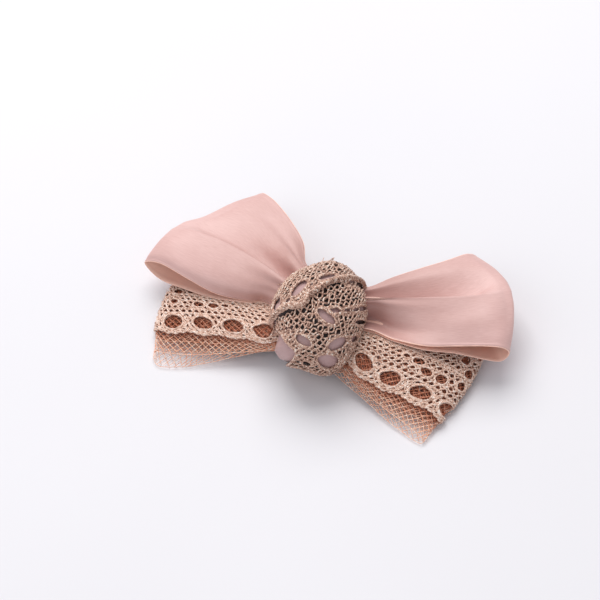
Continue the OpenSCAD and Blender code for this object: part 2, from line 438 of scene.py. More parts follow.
def net_material():
    """Fine copper-coloured netting. fab.z holds the distance across the strip: the netting under the lace is a darker
    rust as painted shade, and the single ply in front is paler, running up to painted highlights.
    """
    m, nt, b = material("net")
    at = node(nt, "ShaderNodeAttribute", attribute_name="fab")
    sep = nt.nodes.new("ShaderNodeSeparateXYZ")
    nt.links.new(at.outputs["Vector"], sep.inputs[0])
    sp = noise(nt, object_vector(nt, (1400, 1400, 1400)), 1.0, 3, 0.7)
    # painted shade: the netting under the lace (fab.z from 0 up) is a darker rust; the single ply in front is paler,
    # up to painted highlights
    net_under_lace_shade = ramp(nt, sp, [(0.32, lin(170, 92, 62)), (0.5, lin(208, 130, 98)), (0.72, lin(242, 188, 162))])
    pale = ramp(nt, sp, [(0.32, lin(242, 158, 122)), (0.5, lin(255, 200, 168)), (0.66, lin(255, 240, 226))])
    fac = math_node(nt, "MULTIPLY", math_node(nt, "ADD", math_node(nt, "MULTIPLY", sep.outputs["Z"], -1.0), 0.0), 0.3)
    cl = nt.nodes.new("ShaderNodeClamp")
    nt.links.new(fac, cl.inputs["Value"])
    mx = nt.nodes.new("ShaderNodeMix")
    mx.data_type = "RGBA"
    nt.links.new(cl.outputs[0], mx.inputs["Factor"])
    nt.links.new(net_under_lace_shade, mx.inputs[6])
    nt.links.new(pale, mx.inputs[7])
    nt.links.new(mx.outputs[2], b.inputs["Base Color"])
    b.inputs["Metallic"].default_value = 0.1
    nt.links.new(math_node(nt, "ADD", math_node(nt, "MULTIPLY", sp, 0.3), 0.25), b.inputs["Roughness"])
    bump(nt, b, sp, 0.3, 0.00005)
    return m


NETM = net_material()
THREAD = thread_material("thread", [(0.35, lin(168, 124, 118)), (0.65, lin(214, 176, 170))], 0.0, 0.6)


# ---------------------------------------------------------------- control points of the loops
# Each row runs from the front edge to the back edge. The rows go from the knot outwards over the top,
# round the fold and back underneath. Millimetres; y is measured from the knot.
SATIN_L = [
    [(-5, -7, 11), (-5, -4, 13), (-5, -1, 15.5), (-5, 3, 17), (-5, 5, 14), (-5, 8, 16), (-5, 11, 15), (-5, 14, 13.5)],
    [(-15.6, 1.4, 10.8), (-14.9, 1.4, 13.3), (-14.1, 2.7, 16), (-13, 5.6, 18.3), (-12.2, 7.9, 13.6), (-12.2, 13.1, 17.3), (-10.6, 15.6, 15.5), (-9.5, 16.7, 14)],
    [(-22.2, 0.3, 10.3), (-22.4, 0.8, 13.3), (-22.5, 3.7, 15.8), (-22, 9.7, 18.0), (-21.1, 12.5, 13.3), (-19.6, 19, 15.3), (-15.9, 22.4, 15), (-13.1, 24.4, 14)],
    [(-31.2, 0.3, 10), (-32, 1.6, 13.2), (-33.1, 6.2, 15.5), (-33.4, 14.2, 17.0), (-32.4, 17.2, 13.4), (-28.4, 25.4, 14.2), (-22.9, 29.4, 14), (-19.5, 31.6, 13.8)],
    [(-41.4, 2.4, 11), (-42, 4, 13.2), (-42.8, 8.6, 14.8), (-42.8, 16.3, 15.7), (-41.8, 19.0, 13.7), (-37.8, 27.6, 13.6), (-31.7, 35, 13.4), (-26.2, 38, 13)],
    [(-50.8, 5.3, 10.8), (-50.9, 7.1, 12.2), (-50.6, 11.2, 13.4), (-49.1, 17.7, 13.6), (-46.2, 21.4, 13.2), (-41.9, 27.5, 12.7), (-35.9, 35.8, 12.6), (-30.2, 40.8, 12.1)],
    [(-55.9, 6.3, 8), (-55.3, 8.1, 9.5), (-53.9, 12.6, 10.5), (-52.1, 18.5, 11), (-49.7, 22.8, 11.3), (-44.8, 27.4, 10.8), (-38.7, 36, 11), (-32.7, 42.3, 10.9)],
    [(-50.8, 5.3, 3.8), (-47.9, 10.6, 4.4), (-44.9, 15.8, 5), (-41.9, 21.1, 5.8), (-38.9, 26.4, 6.6), (-36, 31.7, 7.5), (-33, 37, 8.4), (-30.2, 40.8, 9.2)],
    [(-41.4, 2.4, 5.8), (-39.2, 7.7, 6), (-37, 12.9, 6.3), (-34.8, 18.2, 6.6), (-32.6, 23.4, 7.1), (-30.4, 28.7, 7.6), (-28.2, 34, 8.2), (-26.2, 38, 9)],
    [(-31.2, 0.3, 7.9), (-29.5, 4.9, 7.9), (-27.9, 9.5, 8), (-26.2, 14.1, 8.2), (-24.5, 18.7, 8.4), (-22.8, 23.4, 8.8), (-21.1, 28, 9.2), (-19.5, 31.6, 9.8)],
    [(-22.2, 0.3, 9.4), (-20.9, 3.8, 9.4), (-19.6, 7.3, 9.4), (-18.3, 10.8, 9.5), (-17, 14.4, 9.7), (-15.7, 17.9, 10), (-14.4, 21.4, 10.3), (-13.1, 24.4, 10.8)],
    [(-15.6, 1.4, 9.8), (-14.7, 3.6, 9.9), (-13.8, 5.8, 9.9), (-12.9, 8, 10), (-12.1, 10.1, 10.2), (-11.2, 12.3, 10.6), (-10.3, 14.5, 11), (-9.5, 16.7, 11.5)],
    [(-5, -7, 10.2), (-5, -4, 10.2), (-5, -1, 10.3), (-5, 2, 10.4), (-5, 5, 10.6), (-5, 8, 11), (-5, 11, 11.4), (-5, 14, 11.8)],
]
SATIN_R = [
    [(5, -3, 12), (5, -1.5, 11.5), (5, 0, 13), (5, 2, 15.5), (5, 4.5, 17), (5, 6, 14), (5, 8, 15.5), (5, 11, 14)],
    [(15.3, 0.3, 12), (14.8, 4.4, 10.6), (14.2, 5.9, 12.6), (14.1, 6.1, 16.5), (13.9, 6.5, 18.3), (14.2, 8.6, 13.4), (12, 11.5, 15.8), (11.2, 12.9, 15)],
    [(23.6, -1.1, 12.3), (22.1, 3.1, 11.0), (21.3, 5.4, 13.2), (20.7, 7, 16.2), (20, 9.1, 18), (20.3, 11.8, 12.1), (17.4, 16.2, 15.6), (16.2, 18.9, 14.8)],
    [(32.4, -0.9, 12.6), (31.5, 2.8, 13.3), (30.4, 5.8, 14.8), (29.6, 9, 16.5), (28.8, 12.4, 17.9), (29, 15.6, 11.2), (24.7, 22.6, 14.8), (23.1, 26.6, 14)],
    [(40.9, 2, 12.8), (40.2, 5.1, 14.2), (39.4, 8.3, 15.6), (38.4, 12.1, 16.6), (37.5, 16.1, 17.5), (37.7, 19.6, 11.9), (32.3, 28.3, 14.4), (29.1, 32.7, 13.4)],
    [(48.4, 4.7, 12.8), (47.9, 7.8, 14.2), (47.2, 11.7, 15.4), (46.4, 16.4, 16.1), (44.9, 21.1, 16.4), (43.0, 25.4, 13.6), (38, 32.3, 13.8), (32.4, 37, 12.4)],
    [(53.2, 6.2, 12.2), (52.6, 9.9, 13.4), (51.8, 14.5, 14.3), (50.2, 19.6, 14.8), (47.8, 24.6, 14.8), (44.8, 29, 14), (40, 34.1, 12.9), (33.7, 38.7, 11.6)],
    [(55.2, 7, 9.8), (54.5, 11.7, 11), (53.3, 16.9, 12), (51.7, 22.3, 12.6), (49.3, 27.3, 12.6), (46.3, 31.4, 12.2), (41.7, 35.7, 11.4), (34.6, 40, 10.2)],
    [(53.2, 6.2, 6.6), (50.4, 10.9, 6.4), (47.7, 15.5, 6.3), (44.9, 20.1, 6.2), (42.1, 24.8, 6.2), (39.3, 29.4, 6.6), (36.5, 34, 7.2), (33.7, 38.7, 8.2)],
    [(48.4, 4.7, 7.2), (46.1, 9.3, 7), (43.8, 13.9, 6.9), (41.5, 18.5, 6.8), (39.2, 23.2, 6.8), (36.9, 27.8, 7), (34.7, 32.4, 7.4), (32.4, 37, 8)],
    [(40.9, 2, 9.7), (39.2, 6.4, 9.3), (37.5, 10.8, 8.9), (35.9, 15.2, 8.7), (34.2, 19.6, 8.5), (32.5, 23.9, 8.4), (30.8, 28.3, 8.6), (29.1, 32.7, 9)],
    [(32.4, -0.9, 11), (31.1, 3, 10.6), (29.7, 7, 10.3), (28.4, 10.9, 10), (27.1, 14.8, 9.8), (25.7, 18.8, 9.8), (24.4, 22.7, 9.8), (23.1, 26.6, 10)],
    [(23.6, -1.1, 11.3), (22.5, 1.7, 10.9), (21.4, 4.6, 10.7), (20.4, 7.4, 10.6), (19.3, 10.3, 10.5), (18.3, 13.2, 10.6), (17.2, 16, 10.7), (16.2, 18.9, 10.8)],
    [(15.3, 0.3, 11.1), (14.7, 2.1, 10.7), (14.1, 3.9, 10.6), (13.5, 5.7, 10.6), (13, 7.5, 10.8), (12.4, 9.3, 11), (11.8, 11.1, 11.2), (11.2, 12.9, 11.4)],
    [(5, -3, 11.2), (5, -1, 11.1), (5, 1, 11), (5, 3, 11), (5, 5, 11.1), (5, 7, 11.2), (5, 9, 11.5), (5, 11, 11.8)],
]
LACE_L = [
    [(-4, -9, 7.5), (-4, -7, 9), (-4, -4, 10), (-4, 0, 10.2), (-4, 3, 9.7), (-4, 5, 9.4)],
    [(-10.6, -11.9, 6), (-11.6, -10.9, 8), (-13.1, -8.3, 9.6), (-14.7, -4, 10.3), (-16.1, 1, 9.4), (-16.8, 4, 9.1)],
    [(-16.9, -14, 5), (-18.1, -11.3, 7.5), (-19.6, -8.2, 9), (-21.3, -3.7, 9.5), (-23.2, 1.2, 8.4), (-24, 5.6, 8.1)],
    [(-24.2, -16.5, 4), (-26.2, -12, 6.5), (-27.9, -8.3, 7.8), (-29.7, -3.7, 8.2), (-31.6, 1.7, 6.8), (-32.2, 7, 6.2)],
    [(-32, -18.6, 3), (-34.1, -12.6, 5.2), (-36.1, -8.2, 6.2), (-38, -2.8, 6.2), (-39.7, 3.6, 4.6), (-40.4, 9.4, 4)],
    [(-39.1, -19.6, 2), (-41.3, -13.4, 3.8), (-42.9, -7.9, 4.4), (-44.1, -1.9, 4.2), (-45, 4.8, 2.8), (-45.2, 10.8, 2.5)],
    [(-42.8, -19.7, 1.2), (-45.2, -12.5, 1.8), (-46.5, -6.3, 2.1), (-47.1, -0.2, 2.1), (-47.2, 6.1, 1.7), (-47.2, 12, 1.6)],
    [(-40.3, -23.8, 0.5), (-41.3, -13.4, 0.6), (-42.9, -7.9, 0.7), (-44.1, -1.9, 0.7), (-45, 4.8, 0.8), (-45.2, 10.8, 0.8)],
    [(-34.5, -22.6, 0.6), (-34.1, -12.6, 1.2), (-36.1, -8.2, 1.7), (-38, -2.8, 2.1), (-39.7, 3.6, 2.2), (-40.4, 9.4, 2.2)],
    [(-29.3, -20.2, 1), (-26.2, -12, 2.6), (-27.9, -8.3, 4.2), (-29.7, -3.7, 4.8), (-31.6, 1.7, 4.9), (-32.2, 7, 4.9)],
    [(-18.5, -14.5, 3), (-18.1, -11.3, 5), (-19.6, -8.2, 7.4), (-21.3, -3.7, 8.4), (-23.2, 1.2, 7.6), (-24, 5.6, 7.4)],
    [(-12.1, -11.3, 4.4), (-11.6, -10.9, 6.4), (-13.1, -8.3, 8.5), (-14.7, -4, 8.9), (-16.1, 1, 8.7), (-16.8, 4, 8.5)],
    [(-4, -10, 6), (-4, -7, 7.6), (-4, -4, 8.9), (-4, 0, 9), (-4, 3, 8.9), (-4, 5, 8.8)],
]
LACE_R = [
    [(4, -9, 7.5), (4, -7, 9), (4, -4, 10), (4, 0, 10.2), (4, 3, 9.7), (4, 5, 9.4)],
    [(12.9, -12.6, 5), (12.8, -10.6, 8), (13.3, -7.9, 10), (14.5, -4.3, 10.9), (15.8, 1, 10), (16.2, 4, 9.6)],
    [(19.8, -15.9, 4), (19.2, -14.2, 7), (20.8, -8.7, 9.5), (22.7, -3.9, 10.4), (24.9, 2.2, 9.4), (25.6, 6.4, 8.8)],
    [(27.2, -19.3, 3.2), (27.3, -15.3, 6), (29.3, -9.3, 8.2), (31.3, -3.5, 9.2), (33.9, 4, 8.2), (34.4, 9, 7.4)],
    [(33.3, -21.6, 2.6), (34.4, -16.1, 5), (36.6, -9.4, 6.5), (38.5, -3.4, 7.2), (40.6, 5, 6.2), (41, 10.4, 5.4)],
    [(37.8, -23.7, 2), (40, -17.1, 3.8), (42.1, -9.8, 4.8), (43.7, -2.9, 5.2), (44.5, 6.1, 4.4), (44.7, 11.8, 3.8)],
    [(40.5, -24.7, 1.2), (42.8, -17.2, 1.8), (44.9, -9.2, 2.2), (46.5, -0.8, 2.3), (47, 8.1, 2.2), (47, 13.4, 2)],
    [(39.4, -25.7, 0.5), (40, -17.1, 0.6), (42.1, -9.8, 0.7), (43.7, -2.9, 0.8), (44.5, 6.1, 0.9), (44.7, 11.8, 0.9)],
    [(34.5, -24, 0.6), (34.4, -16.1, 1.2), (36.6, -9.4, 1.7), (38.5, -3.4, 2.1), (40.6, 5, 2.3), (41, 10.4, 2.3)],
    [(28.2, -21.2, 1), (27.3, -15.3, 2.6), (29.3, -9.3, 4.2), (31.3, -3.5, 5), (33.9, 4, 5.2), (34.4, 9, 5.2)],
    [(20.1, -16.8, 2), (19.2, -14.2, 4.8), (20.8, -8.7, 7.3), (22.7, -3.9, 8.5), (24.9, 2.2, 8.3), (25.6, 6.4, 7.8)],
    [(13.8, -14.2, 3.2), (12.8, -10.6, 6.4), (13.3, -7.9, 8.5), (14.5, -4.3, 8.9), (15.8, 1, 8.8), (16.2, 4, 8.6)],
    [(4, -10, 6), (4, -7, 7.6), (4, -4, 8.9), (4, 0, 9), (4, 3, 8.9), (4, 5, 8.8)],
]


# ---------------------------------------------------------------- satin loops
def densify(rows, m, crease):
    """More columns through each row, spaced by real distance, so that a close pair of columns makes a crisp crease."""
    P = np.array(rows, float)
    h = np.linalg.norm(np.diff(P, axis=1), axis=2).mean(0)
    k = np.concatenate([[0], np.cumsum(h)])
    T = np.zeros_like(P)
    d = np.diff(P, axis=1) / h[None, :, None]
    T[:, 1:-1] = (d[:, 1:] * h[None, :-1, None] + d[:, :-1] * h[None, 1:, None]) / (h[:-1] + h[1:])[None, :, None]
    T[:, 0], T[:, -1] = d[:, 0], d[:, -1]
    TL, TR = T.copy(), T.copy()
    for c, sharp in crease:
        TL[:, c] = (1 - sharp) * T[:, c] + sharp * d[:, c - 1]
        TR[:, c] = (1 - sharp) * T[:, c] + sharp * d[:, c]
    x = np.linspace(0, k[-1], m)
    j = np.clip(np.searchsorted(k, x, side="right") - 1, 0, len(h) - 1)
    f = ((x - k[j]) / h[j])[None, :, None]
    hh = h[j][None, :, None]
    return ((1 + 2 * f) * (1 - f) ** 2 * P[:, j] + f * (1 - f) ** 2 * hh * TR[:, j]
            + f * f * (3 - 2 * f) * P[:, j + 1] + f * f * (f - 1) * hh * TL[:, j + 1])


def satin_loop(name, rows, flip, fold_row, seed):
    crease = ((4, 0.85), (5, 0.3)) if rows is SATIN_R else ((3, 0.95), (4, 0.3))
    net = Net(densify(rows, 44, crease), flip)
    rng = np.random.default_rng(seed)
    na, nt = 190, 150
    a = np.linspace(0, 1, na)
    t = (1 - np.cos(np.linspace(0, np.pi, nt))) / 2 * 0.35 + np.linspace(0, 1, nt) * 0.65
    A, T = np.meshgrid(a, t, indexing="ij")
    P, N = net.at(A, T), net.normal(A, T)
    n = len(rows)
    width = 38.0
    edge = np.minimum(T, 1 - T) * width
    selv = 0.10 * np.exp(-((edge - 0.55) / 0.42) ** 2)
    near = np.exp(-(np.abs(P[..., 0]) - 12).clip(0) / 8.0)
    pleat = np.zeros_like(T)
    for k in range(4):
        f, ph, am = 3.0 + 2.1 * k, rng.uniform(0, 6.28), 0.34 / (1 + 0.5 * k)
        pleat += am * np.sin(2 * np.pi * (f * T) + ph + 1.4 * A * (k + 1))
    ripple = 0.10 * np.sin(2 * np.pi * (1.3 * T + 4.2 * A) + rng.uniform(0, 6)) + 0.07 * np.sin(2 * np.pi * (2.6 * T - 5.1 * A) + rng.uniform(0, 6))
    D = near * pleat * np.sin(np.pi * np.clip(T, 0, 1)) ** 0.5 + ripple * (1 - near)
    mid = P + N * D[..., None]
    th = 0.14
    U = np.concatenate([[0], np.cumsum(np.linalg.norm(np.diff(mid[:, nt // 2], axis=0), axis=-1))])
    fab = np.stack([np.repeat(U[:, None], nt, 1), T * width, np.zeros_like(T)], -1)
    fab_in = fab.copy()
    fab_in[..., 2] = 1
    top, bot = mid + N * (th + selv)[..., None], mid - N * (th + selv)[..., None]
    V = np.concatenate([top.reshape(-1, 3), bot.reshape(-1, 3)])
    idx = np.arange(na * nt).reshape(na, nt)
    off = na * nt
    q = np.stack([idx[:-1, :-1], idx[1:, :-1], idx[1:, 1:], idx[:-1, 1:]], -1).reshape(-1, 4)
    if flip:
        q = q[:, ::-1]
    F = [q, q[:, ::-1] + off]

    def rim(line, rev):
        s = np.stack([line[:-1], line[1:], line[1:] + off, line[:-1] + off], -1)
        F.append(s[:, ::-1] if rev else s)

    rim(idx[:, 0], not flip)
    rim(idx[:, -1], flip)
    rim(idx[0], flip)
    rim(idx[-1], not flip)
    ob = new_object(name, V, np.concatenate(F), np.concatenate([fab.reshape(-1, 3), fab_in.reshape(-1, 3)]))
    ob.data.materials.append(SATIN)
    # the woven edge: a fine bead along both long sides
    tb = Tubes(6, seed)
    for tt in (0.0, 1.0):
        j = 0 if tt == 0 else nt - 1
        p = mid[:, j]
        tb.add(p, N[:, j], 0.2, bead=0.06, bead_len=0.7)
    bead = tb.build(name + "_selvedge")
    bead.data.materials.append(SATIN)
    return ob, bead, net


def lengths(net, t=0.5):
    a = np.linspace(0, 1, 400)
    p = net.at(a, np.full_like(a, t))
    return float(np.linalg.norm(np.diff(p, axis=0), axis=1).sum())


satin_l, bead_l, net_sl = satin_loop("satin_left", SATIN_L, True, 6, 11)
satin_r, bead_r, net_sr = satin_loop("satin_right", SATIN_R, False, 7, 12)
for ob, bead, node_name, nt_ in ((satin_l, bead_l, "satin_loop_left", net_sl), (satin_r, bead_r, "satin_loop_right", net_sr)):
    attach(ob, "bow")
    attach(bead, "bow")
    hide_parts(node_name)


# ---------------------------------------------------------------- lace
PERIOD = 9.4


def push_out(q, holes):
    """Leads threads round the open holes, by the shorter way, so that they bundle along the rims."""
    for (cu, cv, a, b, rot, side) in holes:
        c, s = math.cos(rot), math.sin(rot)
        du, dv = q[:, 0] - cu, q[:, 1] - cv
        x, y = (c * du + s * dv) / a, (-s * du + c * dv) / b
        inside = np.hypot(x, y) < 1.0
        if not inside.any():
            continue
        j = np.flatnonzero(inside)
        for run in np.split(j, np.flatnonzero(np.diff(j) > 1) + 1):
            t1, t2 = math.atan2(y[run[0]], x[run[0]]), math.atan2(y[run[-1]], x[run[-1]])
            d = (t2 - t1 + math.pi) % (2 * math.pi) - math.pi
            if abs(d) > 2.7 and d * side < 0:
                d -= math.copysign(2 * math.pi, d)
            th = t1 + d * np.linspace(0, 1, len(run))
            r = 1.02 + 0.07 * np.sin(np.pi * np.linspace(0, 1, len(run)))
            xa, ya = a * r * np.cos(th), b * r * np.sin(th)
            q[run, 0] = cu + c * xa - s * ya
            q[run, 1] = cv + s * xa + c * ya
    return q


def flat_rows(u0, u1, rows, pitch, holes, rng, first, scallop=0.4, amp=0.80, step=0.34):
    """Pairs of threads that cross each other along each row, with the eyes of the lace between them."""
    out = []
    n = int((u1 - u0) / step)
    u = np.linspace(u0, u1, n)
    for k, v0 in enumerate(rows):
        for side in (-1, 1):
            ph = np.pi * (u / pitch + (k % 2) * 0.5)
            w = smooth_noise(n, step, 0.07, rng)
            v = v0 + side * amp * np.sin(ph) + w
            v = v - scallop * np.cos(2 * np.pi * (u - first) / PERIOD) * np.exp(-np.clip(v0 - 0.8, 0, None) / 2.2)
            h = side * 0.13 * np.cos(ph) + smooth_noise(n, step, 0.05, rng)
            q = np.stack([u + smooth_noise(n, step, 0.05, rng), v, h], 1)
            q = push_out(q, [hh[:5] + (side,) for hh in holes])
            out.append(q)
    return out


def ring(cu, cv, a, b, rng, rot=0.0, h=0.1, n=26, turns=1):
    th = np.linspace(0, 2 * np.pi, n, endpoint=False)
    wob = 1 + 0.06 * np.sin(2 * th + rng.uniform(0, 6)) + 0.05 * np.sin(3 * th + rng.uniform(0, 6)) + 0.025 * np.sin(5 * th + rng.uniform(0, 6))
    x, y = a * wob * np.cos(th), b * wob * np.sin(th)
    c, s = math.cos(rot), math.sin(rot)
    return np.stack([cu + c * x - s * y, cv + s * x + c * y, h + 0.08 * np.sin(4 * th + rng.uniform(0, 6))], 1)


def lace_loop(name, rows, flip, seed, first, v_big, extra):
    net = Net(rows, flip)
    st = Strip(net, 6 / 12, 0.2, 24.0, 7.0)
    rng = np.random.default_rng(seed)
    # tb is the ground mesh; the gimp is the thicker thread worked on it: lines, border, rings, bars, loose ends
    tb, gimp = Tubes(5, seed), Tubes(5, seed + 20)
    u0, u1 = st.U[0] + 0.5, st.U[-1] - 0.5
    big, med = [], []
    for k in range(-8, 9):
        c = first + k * PERIOD
        if u0 + 2 < c < u1 - 2:
            big.append((c + rng.uniform(-0.2, 0.2), v_big, 3.15 * rng.uniform(0.95, 1.05), 2.35 * rng.uniform(0.95, 1.05), rng.uniform(-0.1, 0.1), 1))
    for (eu, ev, ea, eb) in extra:
        for sg in (1, -1):
            med.append((eu if sg > 0 else -eu + 2.2, ev, ea, eb, rng.uniform(-0.25, 0.25), 1))
    holes = big + med
    v_rows = [v_big - 2.9, v_big - 1.2, v_big + 0.55, v_big + 2.25] + [v_big + 4.0 + 1.72 * k for k in range(10)]
    v_rows = [v for v in v_rows if v < 23.2]
    for q in flat_rows(u0, u1, v_rows, 2.1, holes, rng, first):
        q[:, 2] += 0.32
        P, N = st.place(q)
        tb.add(P, N, 0.27, bead=0.14, bead_len=0.85)
    # headers: tight twisted lines between the zones, and the outer cord of the border
    n = int((u1 - u0) / 0.34)
    u = np.linspace(u0, u1, n)
    for v0, am, wl, rad in ((v_big + 3.1, 0.22, 1.5, 0.25), (14.6, 0.22, 1.5, 0.25), (20.2, 0.2, 1.5, 0.24), (23.5, 0.15, 1.7, 0.28)):
        for ph in (0, np.pi):
            v = v0 + am * np.sin(2 * np.pi * u / wl + ph) + smooth_noise(n, 0.34, 0.05, rng)
            h = 0.42 + 0.16 * np.cos(2 * np.pi * u / wl + ph)
            q = push_out(np.stack([u, v, h], 1), holes)
            P, N = st.place(q)
            gimp.add(P, N, rad, bead=0.1)
    for j, (dv, rad) in enumerate(((0.0, 0.28), (0.45, 0.24), (0.2, 0.2))):
        v = v_big - 3.35 + dv - 0.38 * np.cos(2 * np.pi * (u - first) / PERIOD) + 0.2 * np.sin(2 * np.pi * u / 2.1 + j * 2.1) + smooth_noise(n, 0.34, 0.06, rng)
        q = np.stack([u, v, 0.35 + 0.16 * np.cos(2 * np.pi * u / 2.1 + j * 2.1)], 1)
        P, N = st.place(q)
        gimp.add(P, N, rad, bead=0.12)
    for (cu, cv, a, b, rot, _) in big:
        for j, (g, hh) in enumerate(((0.12, 0.50), (0.50, 0.34), (0.30, 0.08))):
            q = resample(ring(cu, cv, a + g, b + g, rng, rot, hh), 0.4, True)
            P, N = st.place(q)
            gimp.add(P, N, 0.25, closed=True, bead=0.12)
    for (cu, cv, a, b, rot, _) in med:
        for g, hh in ((0.1, 0.46), (0.40, 0.24)):
            q = resample(ring(cu, cv, a + g, b + g, rng, rot, hh), 0.4, True)
            P, N = st.place(q)
            gimp.add(P, N, 0.23, closed=True, bead=0.12)
    # short plaited bars between the big holes
    for (cu, cv, a, b, rot, _) in big:
        for s_ in (-1, 1):
            x0 = cu + PERIOD / 2
            q = np.stack([np.linspace(x0 - s_ * 0.9, x0 + s_ * 0.9, 14), np.linspace(cv - 2.4, cv + 2.4, 14), np.full(14, 0.48)], 1)
            q[:, 0] += 0.3 * np.sin(np.linspace(0, 6.28, 14))
            P, N = st.place(q)
            gimp.add(P, N, 0.23, bead=0.12)
    # loose fibre ends standing off the fold and the border
    for k in range(46):
        cu = rng.uniform(u0 + 6, u1 - 6) if k % 2 else rng.uniform(-1.5, 1.5)
        cv = rng.uniform(0.2, 22) if k % 2 == 0 else rng.uniform(-0.2, 22)
        w = np.linspace(0, 1, 7)
        an = rng.uniform(0, 6.28)
        L = rng.uniform(0.7, 1.6)
        q = np.stack([cu + L * w * math.cos(an), cv + L * w * math.sin(an) * 0.8, 0.45 + (0.25 + 0.5 * rng.uniform()) * w], 1)
        P, N = st.place(q)
        gimp.add(P, N, 0.06)
    ob, edge = tb.build(name), gimp.build(name + "_gimp")
    ob.data.materials.append(LACE)
    edge.data.materials.append(LACE)
    print(name, "thread", round(tb.length), "mm, faces", len(ob.data.polygons), "strip", round(u1 - u0, 1))
    return ob, edge, st


def net_loop(name, st, seed):
    rng = np.random.default_rng(seed)
    tb = Tubes(3, seed)
    u0, u1 = st.U[0] + 0.3, st.U[-1] - 0.3
    v0, v1 = -st.fringe, st.width - 1.0
    cell = 1.45

    def lines(ang, h, v_lo):
        c, s = math.cos(ang), math.sin(ang)
        L = abs((u1 - u0) * s) + abs((v1 - v_lo) * c)
        cu, cv = (u0 + u1) / 2, (v_lo + v1) / 2
        k = int(L / cell) + 1
        for i in range(-k, k + 1):
            o = i * cell / 1.0
            w = np.linspace(-80, 80, 270)
            u = cu - s * o + c * w
            v = cv + c * o + s * w
            m = (u > u0) & (u < u1) & (v > v_lo) & (v < v1)
            if m.sum() < 4:
                continue
            j = np.where(m)[0]
            a, b = j[0], j[-1] + 1
            n = b - a
            q = np.stack([u[a:b] + smooth_noise(n, 0.6, 0.07, rng, 2.5), v[a:b] + smooth_noise(n, 0.6, 0.07, rng, 2.5),
                          np.full(n, h) + smooth_noise(n, 0.6, 0.05, rng, 2)], 1)
            P, N = st.place(q)
            tb.add(P, N, 0.115, tag=q[:, 1])

    for h, a0, lo in ((-0.15, 0.80, v0 + 0.1), (-0.5, 0.62, -3.2), (-0.85, 0.98, -0.5)):
        lines(a0, h, lo)
        lines(-a0 + 0.08, h - 0.05, lo)
    # the cut front edge, and the edge of the second ply
    n = int((u1 - u0) / 0.5)
    u = np.linspace(u0, u1, n)
    for vv, hh in ((v0 + 0.12, -0.2), (-3.1, -0.45)):
        q = np.stack([u, np.full(n, vv) + smooth_noise(n, 0.5, 0.08, rng), np.full(n, hh)], 1)
        P, N = st.place(q)
        tb.add(P, N, 0.12 if vv < -5 else 0.1, tag=q[:, 1])
    ob = tb.build(name)
    ob.data.materials.append(NETM)
    print(name, "thread", round(tb.length), "mm, faces", len(ob.data.polygons))
    return ob


lace_l, gimp_l, strip_l = lace_loop("lace_left", LACE_L, True, 21, -6.6, 3.35,
                            [(-14.3, 10.3, 1.75, 1.25), (-19.2, 10.3, 1.85, 1.35), (-23.0, 10.9, 1.3, 1.0), (-5.6, 11.2, 1.6, 1.1), (-5.9, 16.0, 2.0, 1.4), (-11.2, 16.6, 1.8, 1.3), (-1.2, 13.5, 1.0, 0.9)])
lace_r, gimp_r, strip_r = lace_loop("lace_right", LACE_R, False, 22, -0.9, 3.75,
                            [(-16.6, 12.0, 1.9, 1.2), (-12.8, 10.0, 1.9, 1.3), (-8.1, 10.3, 1.8, 1.5), (-2.2, 12.0, 1.5, 1.4), (-2.2, 16.2, 1.7, 1.4), (-5.6, 19.4, 1.9, 1.4), (-20.5, 12.2, 1.1, 0.8)])
net_l = net_loop("net_left", strip_l, 31)
net_r = net_loop("net_right", strip_r, 32)
for ob, nn, slot in ((lace_l, "lace_loop_left", "lace"), (lace_r, "lace_loop_right", "lace"), (net_l, "net_loop_left", "net"), (net_r, "net_loop_right", "net")):
    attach(ob, "bow")
    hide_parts(nn)
for ob in (gimp_l, gimp_r):
    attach(ob, "bow")


# ---------------------------------------------------------------- knot
# The ball is an ellipsoid seen through a chart: distance from the chart's middle is the angle from the camera-side
# pole, so that thread patterns laid in the chart keep their size all over the ball.
BALL_C = np.array([0.0, KNOT_Y - 1.2, 14.4]) + 0.95 * R_ - 0.86 * U_
BALL_E = np.array([14.0, 18.4, 13.0])
BASIS = np.stack([R_, U_, C_])
CHOL = np.linalg.cholesky(BASIS @ np.diag(BALL_E ** 2) @ BASIS.T)
CHART_R = 15.5
# outline radius of the ball in millimetres at each angle round it, counter-clockwise from the right
OUT = np.array([(-180, 14.3), (-168, 14.0), (-157, 13.8), (-150, 15.4), (-143, 17.6), (-134, 18.0), (-122, 17.0), (-110, 16.0),
                (-98, 16.2), (-88, 16.8), (-80, 17.0), (-72, 16.6), (-58, 15.2), (-39, 13.8), (-16, 13.5), (-5, 14.0),
                (15, 14.8), (31, 15.9), (46, 16.6), (62, 17.4), (76, 17.4), (92, 16.4), (105, 15.8), (120, 15.4), (138, 15.1), (165, 14.5), (180, 14.3)])


def ball_scale(phi):
    v = CHOL[:2, :2] @ np.stack([np.cos(phi), np.sin(phi)])
    psi = np.degrees(np.arctan2(v[1], v[0]))
    less = 1.35 + 0.55 * np.sin(np.radians(psi) - 0.3)
    return (np.interp(psi, OUT[:, 0], OUT[:, 1]) - less) / np.hypot(v[0], v[1])


RIDGE = np.array([(-13.4, -3.6), (-10.6, 0.4), (-8.4, 3.0), (-4.8, 2.5), (-2.2, 5.2), (1.0, 7.9), (4.0, 9.6), (8.0, 10.2), (12.5, 9.4)])


def seg_dist(q, line):
    """Signed distance of chart points q to a polyline, positive on its left side."""
    best = np.full(len(q), 1e9)
    sign = np.ones(len(q))
    for a, b in zip(line[:-1], line[1:]):
        ab = b - a
        t = np.clip(((q - a) @ ab) / (ab @ ab), 0, 1)
        d = q - (a + t[:, None] * ab)
        dist = np.hypot(d[:, 0], d[:, 1])
        s = np.sign(ab[0] * d[:, 1] - ab[1] * d[:, 0])
        m = dist < best
        best = np.where(m, dist, best)
        sign = np.where(m, s, sign)
    return best * sign


